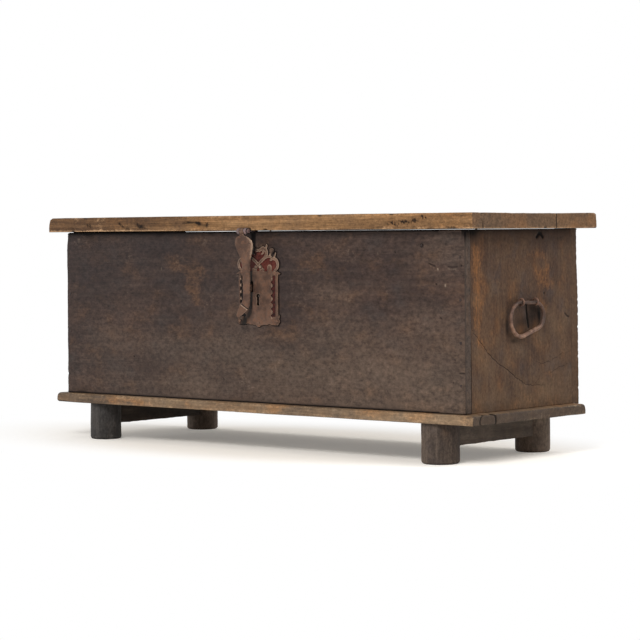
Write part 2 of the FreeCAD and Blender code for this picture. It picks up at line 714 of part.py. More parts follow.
def feet_and_beams(beam_holes):
    """Round feet with a tenon up into the base, joined in pairs by tenoned cross beams."""
    for name, side, radius, depth in foot_places():
        blank = doc.addObject("PartDesign::Body", f"foot_{name}_turned")
        corners = [("0", "0"), (radius, "0"), (radius, "foot_height"),
                   ("foot_tenon_radius", "foot_height"),
                   ("foot_tenon_radius", "foot_height + foot_tenon_height"),
                   ("0", "foot_height + foot_tenon_height")]
        sketch = outline(blank, "XZ_Plane", corners)
        turned = blank.newObject("PartDesign::Revolution", f"foot_{name}_turning")
        turned.Profile = sketch
        turned.ReferenceAxis = (sketch, ["V_Axis"])
        turned.Angle = FULL_TURN
        place(blank, f"{side} * foot_span / 2", depth, "0")
        doc.recompute()
        worn = [f"Edge{number}" for number, edge in enumerate(turned.Shape.Edges, start=1)
                if edge.BoundBox.ZMax < 1 and edge.BoundBox.XLength > S.foot_tenon_radius * 2]
        fillet = blank.newObject("PartDesign::Fillet", f"foot_{name}_wear")
        fillet.Base = (turned, worn)
        bind(fillet, "Radius", "foot_wear")
        toward = 1 if name.startswith("front") else -1
        inner = f"{radius} - beam_tenon_depth - seat_clearance"
        start = f"{depth} + {inner}" if toward > 0 else f"{depth} - ({radius})"
        mortise = block(f"foot_{name}_mortise",
                        ("beam_tenon_width + 2 * seat_clearance",
                         "beam_tenon_depth + seat_clearance",
                         "beam_tenon_height + 2 * seat_clearance"),
                        (f"{side} * foot_span / 2 - beam_tenon_width / 2 - seat_clearance",
                         start, "beam_tenon_z - seat_clearance"))
        keep(less(f"foot_{name}_cut", blank, [mortise]), f"foot_{name}")
    for side, name in ((-1, "left"), (1, "right")):
        keep(beam(name, side, beam_holes[:3] if side < 0 else beam_holes[3:]), f"{name}_beam")


def beam(name, side, holes):
    """A cross beam, hollowed at its ends to fit the round feet, with a tenon into each."""
    front = "front_y + foot_front_inset"
    back = "back_y - foot_back_inset"
    middle = f"{side} * foot_span / 2"
    bar = block(f"{name}_beam_bar", ("beam_width", f"{back} - ({front})", "beam_height"),
                (f"{middle} - beam_width / 2", front, "beam_foot_gap"))
    copes = [rod(f"{name}_beam_cope_{number}", f"foot_{end}_{name} + seat_clearance",
                 f"beam_height + 2 * {PAST}", (middle, depth, f"beam_foot_gap - {PAST}"))
             for number, (end, depth) in enumerate((("front", front), ("back", back)))]
    shaped = less(f"{name}_beam_coped", bar, copes + holes)
    start = f"{front} + foot_front_{name} - beam_tenon_depth"
    end = f"{back} - foot_back_{name} + beam_tenon_depth"
    tenon = block(f"{name}_beam_tenon", ("beam_tenon_width", f"{end} - ({start})",
                                         "beam_tenon_height"),
                  (f"{middle} - beam_tenon_width / 2", start, "beam_tenon_z"))
    tongue = less(f"{name}_beam_tongue", tenon, holes)
    return joined(f"{name}_beam_whole", [shaped, tongue])


# ---------------------------------------------------------------- lid hinges
def lid_hinges():
    """Two linked hinges: a staple in the back board, and an eye on a spike in the lid."""
    staples = []
    eyes = []
    bar_y = S.hinge_axis_y
    level = S.hinge_axis_z
    inner = S.back_y - S.board_thick
    for side in (-1, 1):
        middle = side * S.hinge_spread / 2
        run = S.hinge_out + S.board_thick + S.clench_thick / 2
        loop = lug_shape(2 * S.hinge_staple_half, run, S.staple_bend, S.hinge_staple_wire,
                         Vector(0, 1, 0), Vector(1, 0, 0))
        loop.translate(Vector(middle, bar_y - run, level))
        clenches = [Part.makeBox(S.clench_thick, S.clench_thick, S.clench_length,
                                 Vector(middle + leg * S.hinge_staple_half - S.clench_thick / 2,
                                        inner - S.clench_thick,
                                        level - S.clench_length + S.hinge_staple_wire))
                    for leg in (-1, 1)]
        staples.append(one_solid(loop.fuse(clenches)))
        eye = eye_shape(S.hinge_eye_inner, S.hinge_eye_wire, S.hinge_staple_wire,
                        S.hinge_drop + S.hinge_spike_length)
        eye.rotate(Vector(), Vector(0, 0, 1), 90)
        eye.rotate(Vector(), Vector(1, 0, 0), -90)
        eye.translate(Vector(middle, bar_y, level))
        eyes.append(eye)
    keep(made("hinge_staple_pair", Part.makeCompound(staples)), "hinge_staples")
    keep(made("hinge_eye_pair", Part.makeCompound(eyes)), "lid_hinge_eyes")


# ---------------------------------------------------------------- hasp and its hinge
def leaf_tack_places():
    """Two small nails up through the hinge leaf into the lid."""
    return [(f"hasp_x + {side} * barrel_length / 4", "lid_front_y + leaf_tack_inset",
             "lid_bottom - leaf_thick") for side in (-1, 1)]


def hasp_axis():
    """A point on the hasp's hinge axis, in the middle of the hasp."""
    return Vector(S.hasp_x, S.hasp_axis_y, S.hasp_axis_z)


def knuckle(start, width):
    """A hinge knuckle along X with its bore still solid."""
    axis = hasp_axis() + Vector(start - S.barrel_length / 2, 0, 0)
    return Part.makeCylinder(S.barrel_radius, width, axis, Vector(1, 0, 0))


def bore(radius):
    """The hinge axis as a long bar."""
    start = hasp_axis() - Vector(S.barrel_length, 0, 0)
    return Part.makeCylinder(radius, 2 * S.barrel_length, start, Vector(1, 0, 0))


# Half widths of the leaf, as shares of the barrel's half length: at its shoulder and at its tail.
LEAF_SHARES = (0.62, 0.3)


def hinge_leaf():
    """A tongue nailed under the lid whose front is rolled into the two outer knuckles."""
    side_width = (S.barrel_length - S.hasp_knuckle_width) / 2 - S.knuckle_gap
    half = S.barrel_length / 2
    level = S.lid_bottom - S.leaf_thick
    outline_half = [(half, S.hasp_axis_y), (half, S.lid_front_y + PAST),
                    (LEAF_SHARES[0] * half, S.lid_front_y + S.leaf_shoulder),
                    (LEAF_SHARES[1] * half, S.lid_front_y + S.leaf_length)]
    corners = outline_half + [(-x, y) for x, y in reversed(outline_half)] + outline_half[:1]
    face = Part.Face(Part.makePolygon([Vector(S.hasp_x + x, y, level) for x, y in corners]))
    tongue = face.extrude(Vector(0, 0, S.leaf_thick))
    room_width = S.hasp_knuckle_width + 2 * S.knuckle_gap
    room = Part.makeCylinder(S.barrel_radius + 2 * S.seat_clearance, room_width,
                             hasp_axis() - Vector(room_width / 2, 0, 0), Vector(1, 0, 0))
    left = knuckle(0, side_width)
    right = knuckle(S.barrel_length - side_width, side_width)
    whole = tongue.cut(room).fuse([left, right]).cut(bore(S.pin_radius + S.pin_clearance))
    holes = [Part.makeCylinder(S.tack_radius + S.hole_clearance, S.leaf_thick + 2 * PAST,
                               Vector(value_of(x), value_of(y), level - PAST))
             for x, y, z in leaf_tack_places()]
    keep(made("hasp_hinge_leaf_shape", one_solid(whole.cut(holes))), "hasp_hinge_leaf")
    tacks = [nail(f"leaf_tack_{number}", at, "Z", "tack")
             for number, at in enumerate(leaf_tack_places())]
    keep(group("leaf_tack_group", tacks), "hasp_leaf_nails")


def hinge_pin():
    """The pin through the knuckles, with a head at each end."""
    along = Vector(1, 0, 0)
    length = S.barrel_length + 2 * (S.pin_head_thick + S.knuckle_gap)
    start = hasp_axis() - along * (length / 2)
    pin = Part.makeCylinder(S.pin_radius, length, start, along)
    far = start + along * (length - S.pin_head_thick)
    heads = [Part.makeCylinder(S.pin_head_radius, S.pin_head_thick, at, along)
             for at in (start, far)]
    keep(made("hasp_hinge_pin_shape", one_solid(pin.fuse(heads))), "hasp_hinge_pin")


# The hasp's tables are in shares of the drop from its hinge axis to its staple.
# Its side view: how far its middle lies behind the hinge axis, and the depth under that axis.
HASP_SIDE = ((0.0, 0.0), (0.002, 0.116), (0.02, 0.25), (0.052, 0.466), (0.072, 0.749),
             (0.077, 1.015), (0.063, 1.231), (0.027, 1.356), (-0.025, 1.448))
# Its outline: shares of the head's half width, and the depth under the axis.
HASP_HEAD = ((0.24, 0.125), (0.62, 0.146), (0.92, 0.191), (1.0, 0.25), (0.88, 0.333),
             (0.66, 0.433), (0.5, 0.549), (0.44, 0.682))
# The strap narrows to this share of its half width, at this depth, over a slanted tip.
HASP_TAPER = 0.9
HASP_FOOT = 1.298
HASP_TIP = ((0.025, 1.398), (-0.025, 1.452))
# How deep the staple's legs reach into the strap, as a share of the strap's thickness.
STAPLE_SEAT = 0.75


def hasp_sized(table):
    """A table of the hasp's shares as lengths."""
    return [(across * S.staple_drop, down * S.staple_drop) for across, down in table]


def hasp_side_face():
    """The hasp seen from its side, as a band of its own thickness."""
    middle = [Vector(0, back, -down) for back, down in hasp_sized(HASP_SIDE)]
    half = S.hasp_thick / 2
    sides = []
    for sign in (-1, 1):
        shifted = []
        for index, point in enumerate(middle):
            before = middle[max(index - 1, 0)]
            after = middle[min(index + 1, len(middle) - 1)]
            along = (after - before).normalize()
            shifted.append(point + Vector(0, -along.z, along.y) * (sign * half))
        sides.append(smooth(shifted))
    ends = [Part.LineSegment(sides[0].Vertexes[k].Point, sides[1].Vertexes[k].Point).toShape()
            for k in (0, 1)]
    return Part.Face(Part.Wire(Part.__sortEdges__(sides + ends)))


def hasp_front_face():
    """The hasp seen from the front: neck, pear shaped head, long strap and pointed tip."""
    neck = S.hasp_knuckle_width / 2
    foot_half = S.hasp_strap_half * HASP_TAPER
    foot_z = -HASP_FOOT * S.staple_drop
    edges = []
    for side in (-1, 1):
        head = [Vector(side * share * S.hasp_head_half, 0, -down * S.staple_drop)
                for share, down in HASP_HEAD]
        top = Vector(side * neck, 0, -S.pin_radius)
        edges += [Part.LineSegment(top, head[0]).toShape(), smooth(head),
                  Part.LineSegment(head[-1], Vector(side * foot_half, 0, foot_z)).toShape()]
    corners = [Vector(foot_half, 0, foot_z)]
    corners += [Vector(x, 0, -down) for x, down in hasp_sized(HASP_TIP)]
    corners.append(Vector(-foot_half, 0, foot_z))
    edges += [Part.LineSegment(a, b).toShape() for a, b in zip(corners, corners[1:])]
    edges.append(Part.LineSegment(Vector(-neck, 0, -S.pin_radius),
                                  Vector(neck, 0, -S.pin_radius)).toShape())
    return Part.Face(Part.Wire(Part.__sortEdges__(edges)))


def staple_root():
    """The depth at which the staple's legs start, inside the strap."""
    side = hasp_sized(HASP_SIDE)
    for (back_a, down_a), (back_b, down_b) in zip(side, side[1:]):
        if down_a <= S.staple_drop <= down_b:
            share = (S.staple_drop - down_a) / (down_b - down_a)
            middle = back_a + share * (back_b - back_a)
    return S.hasp_axis_y + middle + S.hasp_thick * (0.5 - STAPLE_SEAT)


def hasp():
    """The hasp strap with its knuckle, and the staple riveted into its back."""
    axis = hasp_axis()
    wide = 2 * S.hasp_head_half
    deep = 2 * S.hasp_reach
    band = hasp_side_face().extrude(Vector(2 * wide, 0, 0))
    band.translate(Vector(-wide, 0, 0))
    front = hasp_front_face().extrude(Vector(0, 2 * deep, 0))
    front.translate(Vector(0, -deep, 0))
    strap = band.common(front)
    strap.translate(axis)
    roll = Part.makeCylinder(S.barrel_radius, S.hasp_knuckle_width,
                             axis - Vector(S.hasp_knuckle_width / 2, 0, 0), Vector(1, 0, 0))
    whole = strap.fuse(roll).cut(bore(S.pin_radius + S.pin_clearance))
    root = Vector(axis.x, staple_root(), S.staple_z)
    run = S.plate_front - S.staple_clearance - S.staple_wire - root.y
    holes = [Part.makeCylinder(S.staple_wire + S.hole_clearance, 2 * S.hasp_thick,
                               root + Vector(0, 0, leg * S.staple_half), Vector(0, 1, 0))
             for leg in (-1, 1)]
    keep(made("hasp_shape", one_solid(whole.cut(holes))), "hasp")
    loop = lug_shape(2 * S.staple_half, run - S.hole_clearance, S.staple_bend, S.staple_wire,
                     Vector(0, 1, 0), Vector(0, 0, 1))
    loop.translate(root + Vector(0, S.hole_clearance, 0))
    keep(made("hasp_staple_shape", loop), "hasp_staple")


# ---------------------------------------------------------------- lock
# The tables of the plate's crest, curls and drop are in shares of the plate's half width.
# Crest bands that follow an arc: centre right of the plate's middle, centre over the field,
# radius, width, first angle, last angle. Each is repeated as its mirror image.
CREST_ARCS = ((0.782, 0.273, 0.282, 0.091, -75.0, 120.0),
              (0.24, 0.709, 0.236, 0.091, -50.0, 150.0),
              (0.173, 0.736, 0.109, 0.055, -60.0, 140.0))
# Crest discs: centre right of the middle, centre over the field, radius.
CREST_DISCS = ((0.609, 0.145, 0.118), (0.104, 0.145, 0.091), (-0.255, 0.055, 0.064),
               (0.045, 0.818, 0.064), (0.704, 0.809, 0.127), (0.445, 1.0, 0.064))
# Crest bars: one end, the other end, width.
CREST_BARS = (((0.609, -0.018), (0.609, 0.145), 0.164), ((0.104, -0.018), (0.104, 0.145), 0.109),
              ((-0.218, 0.091), (0.391, 0.5), 0.082), ((0.382, 0.5), (0.645, 0.516), 0.082),
              ((0.564, 0.527), (0.704, 0.809), 0.073), ((0.827, 0.545), (0.909, 0.691), 0.073),
              ((0.393, 0.873), (0.445, 1.0), 0.073), ((0.927, -0.055), (1.082, -0.073), 0.073))
# The nailed lobe of the crest: right of the middle, over the field.
LOBE = (0.704, 0.809)
# The curls at the lower corners: right of the middle, over the field's foot, radius.
CORNER_CURL = (0.958, 0.136, 0.118)
# The leaf on each curl: one end, the other end, width.
CORNER_LEAF = ((0.964, 0.182), (1.073, 0.345), 0.064)
# The drop under the field, and its nail: right of the middle, over the field's foot, radius.
BOTTOM_DROP = (0.0, 0.018, 0.113)
BOTTOM_NAIL_RISE = 0.073
# Red backing under the crest: centre right of the middle, centre over the field, radius.
BACKING_DISCS = ((0.782, 0.236, 0.255), (0.236, 0.709, 0.218), (0.545, 0.4, 0.164),
                 (0.218, 0.364, 0.255))
BITES = 6


def drawn(*shares):
    """Shares of the plate's half width as lengths."""
    return [share * S.plate_half for share in shares]


def plate_tack_places(surface):
    """Nails through the plate: two in the crest, three along the foot."""
    curl_x, curl_rise, radius = CORNER_CURL
    lobe_x, lobe_rise = LOBE
    spots = [(side * lobe_x, f"field_top + {lobe_rise} * plate_half") for side in (-1, 1)]
    spots += [(side * curl_x, f"field_top - plate_height + {curl_rise} * plate_half")
              for side in (-1, 1)]
    spots.append((0, f"field_top - plate_height + {BOTTOM_NAIL_RISE} * plate_half"))
    return [(f"plate_x + ({x}) * plate_half", surface, z) for x, z in spots]


def plate_point(x, z):
    """A point of the plate's front face, from the plate's middle and the floor."""
    return Vector(S.plate_x + x, S.plate_front, z)


def crest_side(side):
    """The scrolls, discs and bars of the crest on one side, and the curl below them."""
    thick = S.plate_thick
    foot = S.field_top - S.plate_height
    parts = []
    for x, rise, radius, width, start, end in CREST_ARCS:
        x, rise, radius, width = drawn(x, rise, radius, width)
        if side < 0:
            start, end = HALF_TURN - end, HALF_TURN - start
        parts.append(scroll(plate_point(side * x, S.field_top + rise), radius, width, start, end,
                            thick))
    for x, rise, radius in [drawn(*disc) for disc in CREST_DISCS]:
        parts.append(boss(plate_point(side * x, S.field_top + rise), radius, thick))
    for first, last, width in CREST_BARS:
        ends = [drawn(*point) for point in (first, last)]
        parts.append(strip(*(plate_point(side * x, S.field_top + rise) for x, rise in ends),
                           *drawn(width), thick))
    x, rise, radius = drawn(*CORNER_CURL)
    parts.append(boss(plate_point(side * x, foot + rise), radius, thick))
    first, last, width = CORNER_LEAF
    ends = [drawn(*point) for point in (first, last)]
    parts.append(strip(*(plate_point(side * x, foot + rise) for x, rise in ends),
                       *drawn(width), thick))
    return parts


def plate_shape():
    """The lock plate without its holes: a field, a scrolled crest and curled lower corners."""
    foot = S.field_top - S.plate_height
    field = Part.makeBox(2 * S.plate_half, S.plate_thick, S.plate_height,
                         plate_point(-S.plate_half, foot))
    x, rise, radius = drawn(*BOTTOM_DROP)
    drop = boss(plate_point(x, foot + rise), radius, S.plate_thick)
    return field.fuse(crest_side(-1) + crest_side(1) + [drop])


def keyhole_shape(thick, level_y):
    """A round head over a narrow slot with a flared foot."""
    middle = Vector(S.plate_x, level_y, S.keyhole_z)
    head = boss(middle, S.keyhole_radius, thick)
    half = S.keyhole_slot / 2
    flare = S.keyhole_length - S.keyhole_foot_height
    right = [(half, 0), (half, -flare), (S.keyhole_foot_half, -S.keyhole_length)]
    corners = right + [(-x, z) for x, z in reversed(right)] + right[:1]
    face = Part.Face(Part.makePolygon([middle + Vector(x, 0, z) for x, z in corners]))
    return head.fuse(face.extrude(Vector(0, thick, 0)))


def channel_holes(side, deep, start):
    """A side channel of the plate, with a row of bites along its inner edge."""
    height = S.plate_height - S.channel_top - S.channel_foot
    inner = min(side * S.channel_inner, side * (S.channel_inner + S.channel_width))
    holes = [Part.makeBox(S.channel_width, deep, height,
                          Vector(S.plate_x + inner, start, S.field_top - S.channel_top - height))]
    for number in range(BITES):
        level = S.field_top - S.scallop_first - number * S.scallop_pitch
        holes.append(boss(Vector(S.plate_x + side * S.channel_inner, start, level),
                          S.scallop_radius, deep))
    return holes


def plate():
    """The iron lock plate and its nails."""
    deep = S.plate_thick + 2 * PAST
    start = S.plate_front - PAST
    slot = Part.makeBox(S.slot_width, deep, S.slot_below + S.slot_above,
                        Vector(S.hasp_x - S.slot_width / 2, start, S.staple_z - S.slot_below))
    holes = [keyhole_shape(deep, start), slot]
    holes += channel_holes(-1, deep, start) + channel_holes(1, deep, start)
    holes += [Part.makeCylinder(S.tack_radius + S.hole_clearance, deep,
                                Vector(value_of(x), start, value_of(z)), Vector(0, 1, 0))
              for x, y, z in plate_tack_places("plate_front")]
    keep(made("lock_plate_shape", one_solid(plate_shape().cut(holes))), "lock_plate")
    tacks = [nail(f"plate_tack_{number}", at, "Y", "tack")
             for number, at in enumerate(plate_tack_places("plate_front"))]
    keep(group("plate_tack_group", tacks), "lock_plate_nails")


def backing():
    """Red leather behind the pierced crest and channels, cut away round the lock case."""
    half = S.plate_half - S.backing_inset
    height = S.plate_height - S.backing_inset
    skin = Part.makeBox(2 * half, S.backing_thick, height,
                        Vector(S.plate_x - half, S.plate_back, S.field_top - height))
    discs = []
    for x, rise, radius in [drawn(*disc) for disc in BACKING_DISCS]:
        discs += [boss(Vector(S.plate_x + side * x, S.plate_back, S.field_top + rise), radius,
                       S.backing_thick) for side in (-1, 1)]
    doc.recompute()
    room = doc.getObject("lock_mortise").Shape
    holes = [Part.makeCylinder(S.tack_radius + S.hole_clearance, S.backing_thick + 2 * PAST,
                               Vector(value_of(x), S.plate_back - PAST, value_of(z)),
                               Vector(0, 1, 0))
             for x, y, z in plate_tack_places("plate_back")]
    keep(made("lock_backing_shape", one_solid(skin.fuse(discs).cut([room] + holes))),
         "lock_backing")


def lock_case():
    """A sheet iron box in the front board, open towards the plate."""
    outer = lock_case_block("lock_case_outside", "0")
    inner = block("lock_case_inside",
                  ("case_left + case_right - 2 * case_wall",
                   f"case_depth + backing_thick - case_wall + {PAST}",
                   "case_above + case_below - 2 * case_wall"),
                  ("hasp_x - case_left + case_wall", f"plate_back - {PAST}",
                   "staple_z - case_below + case_wall"))
    keep(less("lock_case_box", outer, [inner]), "lock_case")


def lock_bolt():
    """The bolt, with a notch in its underside for the key."""
    bar = block("bolt_bar", ("bolt_length", "bolt_thick", "bolt_height"),
                ("hasp_x + bolt_nose", "plate_back + bolt_behind", "bolt_z"))
    notch = block("bolt_key_notch",
                  ("bolt_notch", f"bolt_thick + 2 * {PAST}", f"bolt_notch_depth + {PAST}"),
                  ("plate_x - bolt_notch / 2", f"plate_back + bolt_behind - {PAST}",
                   f"bolt_z - {PAST}"))
    keep(less("bolt_notched", bar, [notch]), "lock_bolt")


def bolt_keepers():
    """Three bridges on the plate's back: two guide the bolt and one catches its thrown end."""
    guide = "plate_x + bolt_notch / 2 + keeper_room"
    starts = ("hasp_x - case_left + case_wall + bolt_gap", guide, guide + " + keeper_pitch")
    bridges = []
    for number, start in enumerate(starts):
        outside = block(f"keeper_{number}_outside",
                        ("keeper_width", "bolt_behind + bolt_thick + bolt_gap + keeper_thick",
                         "bolt_height + 2 * (bolt_gap + keeper_thick)"),
                        (start, "plate_back", "bolt_z - bolt_gap - keeper_thick"))
        inside = block(f"keeper_{number}_inside",
                       (f"keeper_width + 2 * {PAST}",
                        f"bolt_behind + bolt_thick + bolt_gap + {PAST}",
                        "bolt_height + 2 * bolt_gap"),
                       (f"{start} - {PAST}", f"plate_back - {PAST}", "bolt_z - bolt_gap"))
        bridges.append(less(f"keeper_{number}", outside, [inside]))
    keep(group("bolt_keeper_group", bridges), "bolt_keepers")


# The lock spring's middle line: right of the hasp's middle, over the bolt's top.
SPRING_BLADE = ((46.0, 9.7), (36.0, 5.7), (25.0, 3.3), (14.0, 0.9))


def lock_spring():
    """A leaf spring on a post, bearing down on the bolt."""
    origin = Vector(S.hasp_x, S.plate_back, S.bolt_z + S.bolt_height)
    middle = [origin + Vector(x, S.bolt_behind, z) for x, z in SPRING_BLADE]
    half = Vector(0, 0, S.spring_thick / 2)
    lower = smooth([point - half for point in middle])
    upper = smooth([point + half for point in middle])
    ends = [Part.LineSegment(lower.Vertexes[k].Point, upper.Vertexes[k].Point).toShape()
            for k in (0, 1)]
    blade = sheet_piece([lower, upper] + ends, S.bolt_thick)
    post_x, post_z = SPRING_BLADE[0]
    post = boss(origin + Vector(post_x, 0, post_z), S.spring_post,
                S.bolt_behind + S.bolt_thick + PAST)
    keep(made("lock_spring_shape", one_solid(blade.fuse(post))), "lock_spring")


def key_pin():
    """The pin that a hollow key turns on."""
    keep(rod("key_pin_bar", "key_pin_radius", "case_depth + backing_thick - case_wall",
             ("plate_x", "plate_back", "keyhole_z"), "Y"), "key_pin")


# ---------------------------------------------------------------- ring handles
def bail_shape():
    """A closed ring with a straight top: two unlike bends joined by a level and a sloping bar."""
    axis_x = S.box_half + S.bail_out
    front_y = S.front_y + S.bail_inset
    front = Vector(axis_x, front_y, S.bail_axis_z - S.bail_front_radius)
    back = Vector(axis_x, front_y + S.bail_bend_spread, S.bail_axis_z - S.bail_back_radius)
    slope = math.degrees(math.atan2(back.z - front.z, back.y - front.y))
    under = 2 * slope - 90
    front_arc = arc_edge(front, S.bail_front_radius, 90, under + FULL_TURN, sideways)
    back_arc = arc_edge(back, S.bail_back_radius, under, 90, sideways)
    bottom = Part.LineSegment(front + sideways(under) * S.bail_front_radius,
                              back + sideways(under) * S.bail_back_radius).toShape()
    top = Part.LineSegment(back + sideways(90) * S.bail_back_radius,
                           front + sideways(90) * S.bail_front_radius).toShape()
    path = Part.Wire([front_arc, bottom, back_arc, top])
    return wire_piece(path, S.bail_wire, front + sideways(90) * S.bail_front_radius,
                      Vector(0, 1, 0))


def bail_eye_shapes():
    """The two eyes of the right handle, each with its shank clenched on the inside."""
    eyes = []
    reach = S.bail_out + S.board_thick + S.clench_thick
    for step in (0, 1):
        eye = eye_shape(S.bail_eye_inner, S.bail_eye_wire, S.bail_shank, reach)
        clench = Part.makeBox(S.clench_thick, 2 * S.clench_thick, 2 * S.clench_length,
                              Vector(-reach, -S.clench_thick, -S.clench_length))
        eye = one_solid(eye.fuse(clench))
        eye.translate(Vector(S.box_half + S.bail_out,
                             S.front_y + S.bail_eye_inset + step * S.bail_eye_spread,
                             S.bail_axis_z))
        eyes.append(eye)
    return Part.makeCompound(eyes)


def ring_handles():
    """A ring handle and its two eyes on each end; the left ones mirror the right ones."""
    ring = bail_shape()
    eyes = bail_eye_shapes()
    across = (Vector(), Vector(1, 0, 0))
    keep(made("ring_right", ring), "ring_handle_right")
    keep(made("ring_left", ring.mirror(*across)), "ring_handle_left")
    keep(made("eyes_right", eyes), "handle_eyes_right")
    keep(made("eyes_left", eyes.mirror(*across)), "handle_eyes_left")


# ---------------------------------------------------------------- build, check and export
def faults():
    """Objects that failed to compute, and sub-parts whose shape is empty or broken."""
    failed = [item.Name for item in doc.Objects
              if {"Invalid", "Error"} & set(item.State)]
    broken = [item.Label for item in pieces
              if item.Shape.isNull() or not item.Shape.isValid() or not item.Shape.Solids]
    return failed + broken


def main():
    """Make every sub-part, check it and write it to its own file."""
    lid()
    box_boards()
    feet_and_beams(base())
    lid_hinges()
    hinge_leaf()
    hinge_pin()
    hasp()
    plate()
    backing()
    lock_case()
    lock_bolt()
    bolt_keepers()
    lock_spring()
    key_pin()
    ring_handles()
    doc.recompute()
    wrong = faults()
    if wrong:
        raise RuntimeError("not built: " + ", ".join(wrong))
    os.makedirs("parts", exist_ok=True)
    for item in pieces:
        item.Shape.exportStep(f"parts/{item.Label}.step")
        print(f"{item.Label:20s} {len(item.Shape.Solids):3d} solids {item.Shape.Volume:12.1f} mm3")


main()
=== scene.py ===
"""The looks of a low plank chest: worn boards, rusty iron, red leather and a plain pale studio."""
import math

import bpy
import numpy as np
from mathutils import Matrix, Vector


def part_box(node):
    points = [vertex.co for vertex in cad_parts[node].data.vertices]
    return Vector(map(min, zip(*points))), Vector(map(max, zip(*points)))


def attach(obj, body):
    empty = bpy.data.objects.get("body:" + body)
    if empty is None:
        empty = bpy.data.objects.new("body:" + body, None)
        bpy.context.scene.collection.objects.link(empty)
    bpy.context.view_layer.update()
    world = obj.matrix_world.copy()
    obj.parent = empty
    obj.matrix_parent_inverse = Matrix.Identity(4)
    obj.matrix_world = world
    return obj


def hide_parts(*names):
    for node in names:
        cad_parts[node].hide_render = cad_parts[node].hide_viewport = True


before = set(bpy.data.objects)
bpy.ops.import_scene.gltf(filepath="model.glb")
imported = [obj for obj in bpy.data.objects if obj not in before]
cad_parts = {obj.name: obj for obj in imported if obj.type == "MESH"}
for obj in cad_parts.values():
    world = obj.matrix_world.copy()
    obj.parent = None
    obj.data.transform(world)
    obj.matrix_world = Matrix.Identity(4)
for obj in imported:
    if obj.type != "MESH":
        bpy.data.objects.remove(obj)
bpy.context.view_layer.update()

MM = 0.001
TURN = 2 * math.pi
# Least shares of a normal along an axis: for a side that faces that way, for one that lies flat to
# it, and for one that leans that way at all.
FACING, LEVEL, RISING = 0.5, 0.8, 0.3
# No extra places for a board's grid, and the radius of an arris at a joint between planks.
NO_EXTRA = ((), (), ())
JOINT_ARRIS = 0.3
# Grid step beside the edges of a board.
RIM_STEP = 1.2


# ---------------------------------------------------------------- surfaces, in millimetres

def node_box(node):
    """The lowest and highest corners of a CAD node at rest, in millimetres."""
    low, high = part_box(node)
    return np.array(low) / MM, np.array(high) / MM


def ease(value, start, end):
    """Smooth step: 0 up to start, 1 from end on, with a flat start and finish."""
    share = np.clip((value - start) / (end - start), 0, 1)
    return share * share * (3 - 2 * share)


def bell(value, reach):
    """1 at 0, and smoothly less on both sides of it, over about `reach`."""
    return np.exp(-(value / reach) ** 2)


def fade(value, reach):
    """1 at 0, and less and less beyond it, over about `reach`."""
    return np.exp(-value / reach)


def ripple(points, seed, size, stretch=(1, 1, 1), waves=18):
    """A smooth random field from about -1 to 1: the sum of cosines of seeded directions and
    phases, each about `size` long, drawn out along the axes by `stretch`."""
    draw = np.random.default_rng(seed)
    lines = draw.normal(size=(waves, 3))
    lines /= np.linalg.norm(lines, axis=1, keepdims=True)
    lines *= draw.uniform(0.6, 1.7, (waves, 1)) / size / np.array(stretch)
    phases = draw.uniform(0, TURN, waves)
    return np.cos(TURN * points @ lines.T + phases).sum(axis=1) / math.sqrt(waves)


def spots(points, places, reach):
    """Sum of bells about places: each adds exp(-(distance / reach)^2), with a reach per axis."""
    return sum(np.exp(-(((points - place) / reach) ** 2).sum(axis=1))
               for place in np.atleast_2d(places))


def patches(points, table):
    """Sum of bells, each with its own place, reach and weight."""
    return sum(weight * spots(points, place, reach) for place, reach, weight in table)


def seam_distance(flat, path):
    """Distance from points of a plane to a line of runs, and how far along it each nearest
    place is, as a share from 0 to 1."""
    path = np.array(path, dtype=float)
    runs = np.diff(path, axis=0)
    lengths = np.linalg.norm(runs, axis=1)
    starts = np.concatenate(([0], np.cumsum(lengths)[:-1]))
    best = np.full(len(flat), np.inf)
    share = np.zeros(len(flat))
    for start, run, length, begun in zip(path, runs, lengths, starts):
        along = np.clip((flat - start) @ run / length ** 2, 0, 1)
        gap = np.linalg.norm(flat - start - along[:, None] * run, axis=1)
        nearer = gap < best
        best = np.where(nearer, gap, best)
        share = np.where(nearer, (begun + along * length) / lengths.sum(), share)
    return best, share


def rail(low, high, step, rim, extra):
    """Places along one axis: fine steps within `rim` of both ends, wider ones between them, and
    any extra places."""
    rim = min(rim, (high - low) / 2)
    inner = max(int(round((high - low - 2 * rim) / step)), 1)
    edge = max(int(round(rim / RIM_STEP)), 1)
    places = [np.linspace(low, low + rim, edge + 1), np.linspace(low + rim, high - rim, inner + 1),
              np.linspace(high - rim, high, edge + 1), np.array(extra, dtype=float)]
    places = np.unique(np.round(np.concatenate(places), 3))
    return np.unique(np.clip(places, low, high))


def block_surface(xs, ys, zs):
    """The six faces of a box as one closed grid on the given places of each axis. Corner numbers
    count through the whole lattice and are then packed to those that are used."""
    rails = (xs, ys, zs)
    sizes = [len(places) for places in rails]
    weights = (1, sizes[0], sizes[0] * sizes[1])
    faces = []
    for axis in range(3):
        first, second = (axis + 1) % 3, (axis + 2) % 3
        a, b = np.meshgrid(np.arange(sizes[first] - 1), np.arange(sizes[second] - 1), indexing="ij")
        a, b = a.ravel(), b.ravel()
        for end in (0, sizes[axis] - 1):
            corners = [end * weights[axis] + (a + u) * weights[first] + (b + v) * weights[second]
                       for u, v in ((0, 0), (1, 0), (1, 1), (0, 1))]
            quads = np.stack(corners, axis=1)
            faces.append(quads if end else quads[:, ::-1])
    used, faces = np.unique(np.concatenate(faces), return_inverse=True)
    faces = faces.reshape(-1, 4)
    level, rest = np.divmod(used, weights[2])
    row, column = np.divmod(rest, weights[1])
    return np.stack((xs[column], ys[row], zs[level]), axis=1), faces


